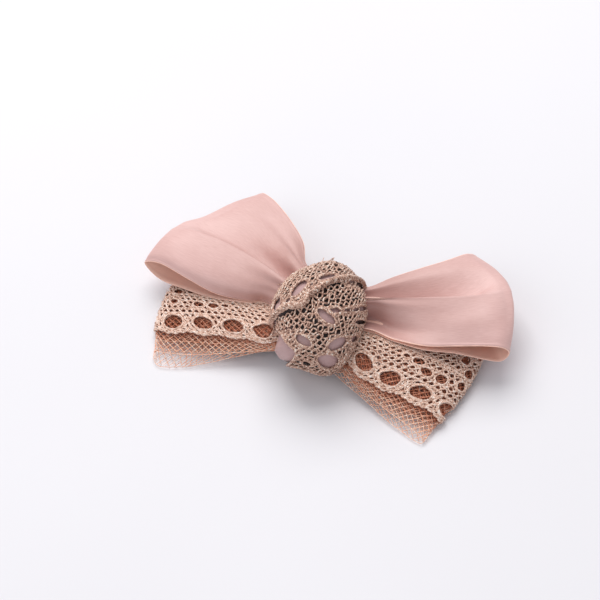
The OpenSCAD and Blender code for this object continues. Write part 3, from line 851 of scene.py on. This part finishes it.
def chart_of_view(ab):
    """View-plane millimetres about the ball's middle to chart coordinates."""
    ab = np.atleast_2d(ab).astype(float)
    inv = np.linalg.inv(CHOL[:2, :2])
    s = ab @ inv.T
    for _ in range(12):
        rho = np.clip(np.hypot(s[:, 0], s[:, 1]), 1e-6, 0.9995)
        k = 1 + (ball_scale(np.arctan2(s[:, 1], s[:, 0])) - 1) * rho ** 2
        s = (ab / k[:, None]) @ inv.T
    rho = np.hypot(s[:, 0], s[:, 1])
    phi = np.arctan2(s[:, 1], s[:, 0])
    th = np.where(rho < 1, np.arcsin(np.clip(rho, 0, 1)), np.pi / 2 + (rho - 1) * 1.3)
    return np.stack([th * CHART_R * np.cos(phi), th * CHART_R * np.sin(phi)], 1)


def view_px(*pts):
    """Points in the 11.2x enlargement of the knot to chart coordinates."""
    p = np.array(pts, float)
    return chart_of_view(np.stack([(258 + p[:, 0] / 11.2 - 319.0) / 3.49, -(245 + p[:, 1] / 11.2 - 316.5) / 3.49], 1))


RIDGE_C = None


def ball_raise(q):
    """Height of the cloth over the plain ball: the upper fold stands over the lower one, with a few creases."""
    d = seg_dist(q, RIDGE_C)
    up = 1 / (1 + np.exp(-(d - 0.1) / 0.35))
    lip = np.exp(-((d - 0.9) / 1.3) ** 2)
    z = 0.7 * up * np.exp(-np.clip(d, 0, 60) / 12.0) + 0.45 * lip
    z -= 0.55 * np.exp(-((d + 1.0) / 1.1) ** 2)
    z += 0.35 * np.sin(q[:, 0] * 0.34 + 0.22 * q[:, 1] + 0.8) * np.exp(-np.hypot(q[:, 0], q[:, 1]) / 22)
    return z


def ball_point(q, h=0.0):
    """Chart coordinates to millimetres, h above the ball's cloth."""
    q = np.asarray(q, float)
    rr = np.hypot(q[:, 0], q[:, 1])
    th = np.clip(rr / CHART_R, 0, 3.05)
    phi = np.arctan2(q[:, 1], q[:, 0])
    s = np.stack([np.sin(th) * np.cos(phi), np.sin(th) * np.sin(phi), np.cos(th)], 1)
    p = s @ CHOL.T
    k = 1 + (ball_scale(phi) - 1) * np.sin(th) ** 2
    p[:, :2] *= k[:, None]
    w = p @ BASIS
    n = w / BALL_E ** 2
    n /= np.linalg.norm(n, axis=1, keepdims=True)
    hh = ball_raise(q) + h
    w = w + n * np.asarray(hh).reshape(-1, 1) * np.ones((1, 1))
    w = w + BALL_C
    yr = w[:, 1] - KNOT_Y
    floor_z = np.where(yr > -4.6, 8.35, np.where(yr < -6.2, 1.3, 1.3 + (yr + 6.2) / 1.6 * 7.05))
    low = w[:, 2] < floor_z + 0.0
    w[:, 2] = np.where(low, floor_z + np.asarray(h) * 0.3 if np.ndim(h) else floor_z + h * 0.3, w[:, 2])
    return w


def ball_place(q):
    """q is (x, y, h) in the chart; returns points and normals."""
    p = ball_point(q[:, :2], q[:, 2])
    o = ball_point(q[:, :2], q[:, 2] + 0.5)
    n = o - p
    ln = np.linalg.norm(n, axis=1, keepdims=True)
    rad = p - BALL_C
    rad /= np.linalg.norm(rad, axis=1, keepdims=True)
    n = np.where(ln > 0.05, n / np.maximum(ln, 1e-9), rad)
    return p, n


RIDGE_C = view_px((60, 1010), (130, 900), (210, 850), (330, 730), (440, 720), (540, 680), (600, 590), (700, 520), (800, 455), (920, 425), (1060, 425), (1180, 480), (1250, 560))


OVER_HOLES = [(470, 510, 112, 50, 42), (240, 680, 92, 42, 62), (355, 640, 32, 26, 20), (770, 388, 92, 36, 10),
              (300, 430, 55, 20, 32), (1030, 440, 42, 16, -8), (600, 480, 26, 18, 50),
              (765, 248, 30, 22, 0), (860, 262, 24, 20, 0), (895, 315, 28, 20, 0), (600, 300, 20, 14, 0), (570, 232, 70, 22, 8)]
UNDER_HOLES = [(510, 1062, 98, 48, -33), (880, 1090, 100, 56, 24), (780, 1300, 100, 66, -12), (755, 805, 118, 52, -38),
               (850, 738, 66, 32, -5), (1035, 728, 76, 30, 2), (1160, 714, 46, 28, 4), (1203, 790, 24, 50, 0),
               (1062, 1042, 34, 28, 0), (545, 1300, 46, 22, -25), (640, 610, 40, 18, -40), (545, 880, 26, 20, 0),
               (1150, 862, 30, 22, 0), (590, 1225, 40, 16, -20), (450, 1280, 34, 16, -10)]


COVER = []


def cover(tb, P, N, radius, **kw):
    """Add a thread of the knot's lace and note where it lies, for the painted shade on the satin under the lace."""
    COVER.append(P[::3])
    tb.add(P, N, radius, **kw)


def knot_ball():
    """The satin wad: a sphere grid whose poles are at the chart's middle and back."""
    nt_, np_ = 150, 200
    th = np.linspace(0.0, 3.04, nt_)
    ph = np.linspace(-np.pi, np.pi, np_, endpoint=False)
    TH, PH = np.meshgrid(th, ph, indexing="ij")
    q = np.stack([TH * CHART_R * np.cos(PH), TH * CHART_R * np.sin(PH)], -1).reshape(-1, 2)
    P = ball_point(q, -0.45)
    # gathers that run in towards the two ends where the ribbon is pinched
    rel = P - BALL_C
    side = np.abs(rel[:, 0]) / BALL_E[0]
    ang = np.arctan2(rel[:, 2], rel[:, 1])
    n = rel / np.linalg.norm(rel, axis=1, keepdims=True)
    fold = 0.28 * np.sin(9 * ang + 2.0 * rel[:, 0] / 14) * side ** 1.2 + 0.16 * np.sin(17 * ang + 0.7) * side ** 2
    keep = (P[:, 2] > 9.0) | (rel[:, 1] < -6)
    P = P + n * (fold * keep)[:, None]
    idx = np.arange(nt_ * np_).reshape(nt_, np_)
    nx = np.roll(idx, -1, 1)
    q4 = np.stack([idx[:-1], idx[1:], nx[1:], nx[:-1]], -1).reshape(-1, 4)[:, ::-1]
    F = q4.tolist() + [idx[-1][::-1].tolist()]
    # merge the first ring into one point
    F = [[0 if i < np_ else i for i in f] for f in F]
    F = [[i for k, i in enumerate(f) if i != f[k - 1]] for f in F]
    used = [0] + list(range(np_, nt_ * np_))
    remap = {o: k for k, o in enumerate(used)}
    F = [[remap[i] for i in f] for f in F]
    V = P[used]
    # painted shade: the satin's colour is darkened to near black wherever the lace lies closed over it, outside the
    # open holes
    open_ = px_holes(OVER_HOLES[:4] + OVER_HOLES[5:7] + UNDER_HOLES[:9]) + px_holes([(270, 1150, 190, 170, 60)])
    f = np.full(len(q), 9.0)
    for (cu, cv, a, b, rot, _) in open_:
        c, s = math.cos(rot), math.sin(rot)
        du, dv = q[:, 0] - cu, q[:, 1] - cv
        f = np.minimum(f, np.hypot((c * du + s * dv) / (a + 0.5), (-s * du + c * dv) / (b + 0.5)))
    pts = np.concatenate(COVER)
    kd = KDTree(len(pts))
    for i, p in enumerate(pts):
        kd.insert(p, i)
    kd.balance()
    gap = np.array([kd.find(p)[2] for p in P])
    shade = np.clip((f - 1.0) / 0.3, 0, 1) * np.clip((2.1 - gap) / 0.5, 0, 1)
    fab = np.stack([q[used, 0], q[used, 1], shade[used]], 1)
    ob = new_object("knot_ball", V, F, fab)
    ob.data.materials.append(SATIN_KNOT_SHADED)
    return ob


def curve_rows(rows, pitch, holes, rng, amp, base_h, step=0.33, jitter=0.1):
    """Twisted pairs along arbitrary chart curves; amp may vary along each row."""
    out = []
    for k, (line, am) in enumerate(rows):
        L = np.hypot(*np.diff(line, axis=0).T).sum()
        n = max(int(L / step), 12)
        p = smooth_curve(line, n) if len(line) < 12 else resample(line, step)
        n = len(p)
        am_ = np.interp(np.linspace(0, 1, n), np.linspace(0, 1, len(am)), am)
        s = np.concatenate([[0], np.cumsum(np.hypot(*np.diff(p, axis=0).T))])
        tg = np.gradient(p, axis=0)
        tg /= np.maximum(np.linalg.norm(tg, axis=1, keepdims=True), 1e-9)
        nn = np.stack([-tg[:, 1], tg[:, 0]], 1)
        for side in (-1, 1):
            ph = np.pi * (s / pitch + (k % 2) * 0.5)
            off = side * am_ * amp * np.sin(ph) + smooth_noise(n, step, jitter, rng)
            q2 = p + nn * off[:, None]
            h = base_h + side * 0.13 * np.cos(ph) + smooth_noise(n, step, 0.08, rng)
            q = np.concatenate([q2, h[:, None]], 1)
            q = push_out(q, [hh[:5] + (side,) for hh in holes])
            out.append(q)
    return out


def px_holes(items):
    """(x, y, a, b, degrees) in the enlargement to chart ellipses."""
    out = []
    for (x, y, a, b, deg) in items:
        c, ax, bx = view_px((x, y), (x + a * math.cos(math.radians(deg)), y - a * math.sin(math.radians(deg))),
                            (x + b * math.sin(math.radians(deg)), y + b * math.cos(math.radians(deg))))
        da, db = ax - c, bx - c
        out.append((c[0], c[1], max(np.hypot(*da), 0.45), max(np.hypot(*db), 0.4), math.atan2(da[1], da[0]), 1))
    return out


def ring_bundle(tb, holes, rng, base_h, radius=0.23, thick=True):
    for (cu, cv, a, b, rot, _) in holes:
        big = a > 1.5
        for g, hh in (((0.2, 0.15), (0.6, 0.0), (0.42, -0.1)) if big else ((0.15, 0.1),)):
            q = resample(ring(cu, cv, a + g, b + g, rng, rot, base_h + hh), 0.4, True)
            P, N = ball_place(q)
            tb.add(P, N, radius, closed=True, bead=0.12)


def band_over():
    rng = np.random.default_rng(41)
    tb, gimp = Tubes(5, 41), Tubes(5, 43)
    holes = px_holes(OVER_HOLES)
    line = resample(RIDGE_C, 0.6)
    tg = np.gradient(smooth_curve(RIDGE_C, len(line)), axis=0)
    base = smooth_curve(RIDGE_C, len(line))
    tg /= np.linalg.norm(tg, axis=1, keepdims=True)
    nn = np.stack([-tg[:, 1], tg[:, 0]], 1)
    for _ in range(14):
        nn = (nn + np.roll(nn, 1, 0) + np.roll(nn, -1, 0)) / 3
        nn[0], nn[-1] = nn[1], nn[-2]
        nn /= np.linalg.norm(nn, axis=1, keepdims=True)
    rows = []
    for k in range(21):
        v = 1.5 + 1.74 * k
        nk = nn + (np.array([[-0.30, 0.95]]) - nn) * min(1.0, k / 7.0)
        nk /= np.linalg.norm(nk, axis=1, keepdims=True)
        p = base + nk * v
        g = np.stack([np.interp(np.linspace(0, 1, 11), np.linspace(0, 1, len(p)), p[:, i]) for i in (0, 1)], 1)
        rows.append((g, [1.0, 1.0]))
    for q in curve_rows(rows, 2.1, holes, rng, 0.78, 0.35):
        keep = np.hypot(q[:, 0], q[:, 1]) < CHART_R * 2.75
        if keep.sum() < 8:
            continue
        q = q[keep]
        P, N = ball_place(q)
        cover(tb, P, N, 0.245, bead=0.15, bead_len=0.85)
    ring_bundle(gimp, holes, rng, 0.4)
    # the rolled edge: a thick plait
    n = int(np.hypot(*np.diff(base, axis=0).T).sum() / 0.33)
    p = smooth_curve(RIDGE_C, n)
    t2 = np.gradient(p, axis=0)
    t2 /= np.linalg.norm(t2, axis=1, keepdims=True)
    n2 = np.stack([-t2[:, 1], t2[:, 0]], 1)
    s = np.arange(n) * 0.33
    for j in range(5):
        ph = j * 2 * np.pi / 5
        off = 0.45 + 0.48 * np.cos(2 * np.pi * s / 4.2 + ph) + smooth_noise(n, 0.33, 0.08, rng)
        h = 0.45 + 0.36 * np.sin(2 * np.pi * s / 4.2 + ph) + smooth_noise(n, 0.33, 0.06, rng)
        q = np.concatenate([p + n2 * off[:, None], h[:, None]], 1)
        P, N = ball_place(q)
        gimp.add(P, N, 0.27, bead=0.14, bead_len=0.8)
    for j in range(2):
        off = 1.45 + 0.2 * np.sin(2 * np.pi * s / 1.7 + j * np.pi) + smooth_noise(n, 0.33, 0.06, rng)
        q = np.concatenate([p + n2 * off[:, None], np.full((n, 1), 0.45)], 1)
        P, N = ball_place(push_out(q, holes))
        gimp.add(P, N, 0.23, bead=0.12)
    # loose frayed ends at the back of the top
    for (x, y, dx, dy) in ((800, 175, 70, -40), (760, 170, 110, -18), (700, 175, 60, -30), (830, 150, 45, -30), (300, 420, -70, 20), (180, 600, -50, 30)):
        c0, c1 = view_px((x, y), (x + dx, y + dy))
        k = 12
        tt = np.linspace(0, 1, k)
        q = np.concatenate([c0 + (c1 - c0) * tt[:, None], (0.4 + 1.5 * tt ** 1.5)[:, None]], 1)
        q[:, 0] += 0.25 * np.sin(tt * 5)
        P, N = ball_place(q)
        gimp.add(P, N, 0.11)
    ob, edge = tb.build("knot_band_over"), gimp.build("knot_band_over_gimp")
    ob.data.materials.append(LACE_KNOT_SHADED)
    edge.data.materials.append(LACE_KNOT_SHADED)
    print("knot_band_over thread", round(tb.length), "faces", len(ob.data.polygons))
    return ob, edge


def band_under():
    rng = np.random.default_rng(42)
    tb, gimp = Tubes(5, 42), Tubes(5, 44)
    holes = px_holes(UNDER_HOLES)
    bottom = view_px((330, 1335), (500, 1392), (640, 1428), (760, 1440), (870, 1415), (950, 1320), (1010, 1200), (1080, 1130), (1180, 1050), (1235, 930))
    top = view_px((215, 880), (340, 790), (480, 745), (580, 705), (640, 610), (740, 530), (860, 475), (990, 455), (1110, 470), (1225, 560))
    left = view_px((330, 1335), (400, 1270), (440, 1190), (370, 1100), (300, 1010), (245, 950), (215, 880))
    rows = []
    K = 14
    for k in range(K):
        f = k / (K - 1)
        b_, t_ = smooth_curve(bottom, 30), smooth_curve(top, 30)
        tau = np.linspace(0, 1, 30)
        l_ = smooth_curve(left, 50)[int(f * 49)]
        p = (1 - f) * b_ + f * t_
        p = p + (l_ - p[0]) * ((1 - tau) ** 2.2)[:, None]
        p = p + np.array([[0.0, -0.9]]) * (np.sin(np.pi * f) * np.sin(np.pi * tau))[:, None]
        gap = np.hypot(*(t_ - b_).T) / (K - 1) / 1.74
        g = np.stack([np.interp(np.linspace(0, 1, 10), tau, p[:, i]) for i in (0, 1)], 1)
        am = np.interp(np.linspace(0, 1, 10), tau, np.clip(gap, 0.55, 1.15))
        ext = g[-1] + (g[-1] - g[-2]) * 1.0
        g = np.vstack([g, ext[None], (ext + (g[-1] - g[-2]) * 1.4)[None]])
        rows.append((g, list(am) + [am[-1], am[-1]]))
    # the cloth goes on round the bottom of the ball, out of the picture
    for k in range(1, 6):
        b_ = smooth_curve(bottom, 10)
        o = b_ / np.linalg.norm(b_, axis=1, keepdims=True) * 1.6 * k
        rows.append((b_ + o, [1, 1]))
    fill = [(g + np.array([[0.0, 0.85]]), [x * 0.45 for x in am]) for g, am in rows[:14:3]]
    for q in curve_rows(fill, 1.5, holes, rng, 0.9, 0.02, jitter=0.3):
        P, N = ball_place(q)
        ok = P[:, 2] > 1.5
        if ok.sum() > 8:
            tb.add(P[ok], N[ok], 0.18, bead=0.15, bead_len=0.85)
    for q in curve_rows(rows, 2.1, holes, rng, 0.80, 0.30, jitter=0.16):
        P, N = ball_place(q)
        ok = P[:, 2] > 1.5
        if ok.sum() < 8:
            continue
        cover(tb, P[ok], N[ok], 0.25, bead=0.15, bead_len=0.85)
    ring_bundle(gimp, holes, rng, 0.2)
    # the corded left and right edges of this band
    for line, wl, cnt, rad in ((left, 1.9, 3, 0.25), (view_px((880, 1410), (905, 1320), (950, 1220), (1000, 1140), (1060, 1105)), 2.2, 3, 0.3),
                               (bottom[:6], 1.9, 2, 0.26)):
        L = np.hypot(*np.diff(line, axis=0).T).sum()
        n = max(int(L / 0.33), 14)
        p = smooth_curve(line, n)
        t2 = np.gradient(p, axis=0)
        t2 /= np.maximum(np.linalg.norm(t2, axis=1, keepdims=True), 1e-9)
        n2 = np.stack([-t2[:, 1], t2[:, 0]], 1)
        s = np.arange(n) * 0.33
        for j in range(cnt):
            off = 0.3 * np.sin(2 * np.pi * s / wl + j * 2.1) + smooth_noise(n, 0.33, 0.06, rng)
            h = 0.42 + 0.22 * np.cos(2 * np.pi * s / wl + j * 2.1)
            q = np.concatenate([p + n2 * off[:, None], h[:, None]], 1)
            P, N = ball_place(q)
            gimp.add(P, N, rad, bead=0.12)
    ob, edge = tb.build("knot_band_under"), gimp.build("knot_band_under_gimp")
    ob.data.materials.append(LACE_KNOT_SHADED)
    edge.data.materials.append(LACE_KNOT_SHADED)
    print("knot_band_under thread", round(tb.length), "faces", len(ob.data.polygons))
    return ob, edge


over, over_gimp = band_over()
under, under_gimp = band_under()
ball = knot_ball()
for ob, nn, slot in ((ball, "knot_satin", "knot_satin"), (over, "knot_lace_over", "knot_lace"), (under, "knot_lace_under", "knot_lace")):
    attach(ob, "bow")
    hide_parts(nn)
for ob in (over_gimp, under_gimp):
    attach(ob, "bow")


# ---------------------------------------------------------------- what holds it together underneath
CLIP_Y = KNOT_Y + 1.0
PIN = np.array([11.0, CLIP_Y, 3.9])


def winding():
    """Thread wound round the pinched strips, inside the knot."""
    rng = np.random.default_rng(51)
    tb = Tubes(6, 51)
    n = 9 * 48
    th = np.linspace(0, 9 * 2 * np.pi, n)
    x = np.linspace(-1.1, 1.1, n) + 0.12 * np.sin(th * 3.1)
    r = 1 + 0.02 * np.sin(th * 1.7)
    c, s = np.cos(th), np.sin(th)
    P = np.stack([x, KNOT_Y + 0.1 + 8.8 * r * np.sign(c) * np.abs(c) ** 0.6, 11.62 + 2.75 * r * np.sign(s) * np.abs(s) ** 0.6], 1)
    N = np.stack([np.zeros(n), c, s], 1)
    tb.add(P, N, 0.16, bead=0.12, bead_len=0.6)
    ob = tb.build("winding")
    ob.data.materials.append(THREAD)
    return ob


def slab(name, x0, x1, y0, y1, z0, z1, shape, mat, nx=90, ny=24):
    """A closed sheet between two skins; shape(X, Y) gives how far each skin is from the middle, 0 to 1, and a lift."""
    X, Y = np.meshgrid(np.linspace(-1, 1, nx), np.linspace(-1, 1, ny), indexing="ij")
    t, lift, px, py = shape(X, Y)
    cx, cy, cz, hx, hy, hz = (x0 + x1) / 2, (y0 + y1) / 2, (z0 + z1) / 2, (x1 - x0) / 2, (y1 - y0) / 2, (z1 - z0) / 2
    top = np.stack([cx + hx * px, cy + hy * py, cz + hz * t + lift], -1)
    bot = np.stack([cx + hx * px, cy + hy * py, cz - hz * t + lift], -1)
    idx = np.arange(nx * ny).reshape(nx, ny)
    off = nx * ny
    q = np.stack([idx[:-1, :-1], idx[1:, :-1], idx[1:, 1:], idx[:-1, 1:]], -1).reshape(-1, 4)
    F = [q, q[:, ::-1] + off]
    for line, rev in ((idx[:, 0], True), (idx[:, -1], False), (idx[0], False), (idx[-1], True)):
        e = np.stack([line[:-1], line[1:], line[1:] + off, line[:-1] + off], -1)
        F.append(e[:, ::-1] if rev else e)
    fab = np.concatenate([top.reshape(-1, 3), bot.reshape(-1, 3)])
    ob = new_object(name, fab, np.concatenate(F), fab)
    ob.data.materials.append(mat)
    return ob


def glue_shape(X, Y):
    rng = np.random.default_rng(52)
    ang = np.arctan2(Y, X)
    rr = np.maximum(np.abs(X), np.abs(Y))
    sq = rr / np.maximum((np.abs(X) ** 4 + np.abs(Y) ** 4) ** 0.25, 1e-6)
    edge = 1 - 0.06 * (1 + np.sin(3 * ang + 1) * 0.6 + 0.4 * np.sin(7 * ang))
    px, py = X * (sq * 0.9 + 0.1) * edge, Y * (sq * 0.9 + 0.1) * edge
    return np.clip(1 - rr ** 8, 0.04, 1) * (0.94 + 0.06 * np.sin(5 * X + 3 * Y)), 0 * X, px, py


def lining_shape(X, Y):
    rib = 0.86 + 0.14 * np.sin(X * 20.4 * 2 * np.pi / 1.0)
    e = np.exp(-((1 - np.abs(Y)) / 0.05) ** 2)
    return rib * (0.82 + 0.18 * e), 0 * X, X, Y * (1 - 0.01 * (1 + np.sin(X * 20.4 * 2 * np.pi / 1.0)))


def coil_pt(a):
    a = np.asarray(a, float)
    return np.stack([PIN[0] + 1.6 * np.sin(a), CLIP_Y - 1.44 + 0.72 * a / (2 * np.pi), PIN[2] + 1.6 * np.cos(a)], -1)


def spring_parts():
    end = 2 * np.pi * 4.5
    lead = np.linspace(0, 1, 14)[:, None]
    top = np.array([18.6, CLIP_Y - 1.44, 6.33])
    coil = np.concatenate([top + (coil_pt(0) - top) * lead[:-1], coil_pt(np.linspace(0, end, 190))])
    low = np.array([18.2, CLIP_Y + 1.44, 1.66])
    arc = coil_pt(np.linspace(end - 0.9, end, 16))
    leg = np.concatenate([arc, arc[-1] + (low - arc[-1]) * lead[1:]])
    out = []
    for nme, P in (("spring_coil", coil), ("spring_leg", leg)):
        for _ in range(2):
            P[1:-1] = (P[:-2] + 2 * P[1:-1] + P[2:]) / 4
        tb = Tubes(10, 5)
        tb.add(P, np.tile(np.array([[0, 1.0, 0]]), (len(P), 1)), 0.29)
        ob = tb.build(nme)
        ob.data.materials.append(SPRING_STEEL)
        out.append(ob)
    return out


CLIP_STEEL = metal_material("clip_steel", lin(200, 200, 204), 0.30)
PIN_STEEL = metal_material("pin_steel", lin(208, 208, 212), 0.24, (900, 900, 900))
SPRING_STEEL = metal_material("spring_steel", lin(188, 190, 196), 0.28, (1200, 1200, 1200))


def glue_material():
    m, nt, b = material("glue")
    f = noise(nt, object_vector(nt, (500, 500, 500)), 1.0, 4, 0.6)
    nt.links.new(ramp(nt, f, [(0.3, lin(226, 216, 198)), (0.7, lin(242, 236, 224))]), b.inputs["Base Color"])
    nt.links.new(math_node(nt, "ADD", math_node(nt, "MULTIPLY", f, 0.3), 0.15), b.inputs["Roughness"])
    b.inputs["Coat Weight"].default_value = 0.3
    bump(nt, b, f, 0.3, 0.0002)
    return m


GLUE = glue_material()
LINING = satin_material("lining", lin(206, 164, 158), lin(182, 138, 132), 0.55, lin(196, 152, 146))
wind = winding()
glue = slab("glue_dab", -9, 9, CLIP_Y - 3.2, CLIP_Y + 3.2, 7.82, 8.18, glue_shape, GLUE, 60, 30)
lining = slab("lining_ribbon", -20.4, 20.4, CLIP_Y - 3.7, CLIP_Y + 3.7, 7.41, 7.8, lining_shape, LINING, 420, 24)
coil, leg = spring_parts()
for ob, body, nn, slot in ((wind, "bow", "binding_thread", "thread"), (glue, "bow", "glue_pad", "glue"), (lining, "bow", "clip_lining", "lining"),
                           (coil, "bow", "clip_spring", "spring_steel"), (leg, "lower_arm", "clip_spring", "spring_steel")):
    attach(ob, body)
    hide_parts(nn)


# ---------------------------------------------------------------- clip
for nme, mat in (("clip_top_arm", CLIP_STEEL), ("clip_lower_arm", CLIP_STEEL), ("clip_pin", PIN_STEEL)):
    NODES[nme].data.materials.clear()
    NODES[nme].data.materials.append(mat)


# ---------------------------------------------------------------- stage and light
def stage():
    me = bpy.data.meshes.new("floor")
    s = 3.0
    me.from_pydata([(-s, -s, 0), (s, -s, 0), (s, s, 0), (-s, s, 0)], [], [(0, 1, 2, 3)])
    ob = bpy.data.objects.new("floor", me)
    bpy.context.scene.collection.objects.link(ob)
    m, nt, b = material("floor")
    c = ramp(nt, noise(nt, object_vector(nt, (6, 6, 6)), 1.0, 2, 0.5), [(0.3, lin(229, 228, 232)), (0.7, lin(232, 231, 235))])
    nt.links.new(c, b.inputs["Base Color"])
    b.inputs["Roughness"].default_value = 0.7
    b.inputs["Specular IOR Level"].default_value = 0.2
    # seen from below, the floor is clear, so that the underside can be looked at
    geo, clear, mix = (nt.nodes.new(k) for k in ("ShaderNodeNewGeometry", "ShaderNodeBsdfTransparent", "ShaderNodeMixShader"))
    nt.links.new(geo.outputs["Backfacing"], mix.inputs[0])
    nt.links.new(b.outputs[0], mix.inputs[1])
    nt.links.new(clear.outputs[0], mix.inputs[2])
    nt.links.new(mix.outputs[0], nt.nodes["Material Output"].inputs["Surface"])
    me.materials.append(m)


def area(name, loc, target, size, energy, colour=(1, 1, 1)):
    d = bpy.data.lights.new(name, "AREA")
    d.shape = "SQUARE"
    d.size = size
    d.energy = energy
    d.color = colour
    ob = bpy.data.objects.new(name, d)
    bpy.context.scene.collection.objects.link(ob)
    ob.location = loc
    ob.rotation_mode = "QUATERNION"
    ob.rotation_quaternion = (Vector(target) - Vector(loc)).to_track_quat("-Z", "Y")


stage()
area("key", (-0.32, 0.50, 0.92), (0, 0, 0), 0.95, 11.0, (1, 0.985, 0.97))
area("fill", (-0.45, -0.85, 0.8), (0, 0, 0), 0.9, 3.2, (0.98, 0.98, 1))
world = bpy.data.worlds.new("world")
bpy.context.scene.world = world
world.use_nodes = True
world.node_tree.nodes["Background"].inputs["Color"].default_value = (0.96, 0.965, 1, 1)
world.node_tree.nodes["Background"].inputs["Strength"].default_value = 0.46
bpy.context.scene.view_settings.view_transform = "Standard"
bpy.context.scene.view_settings.look = "None"
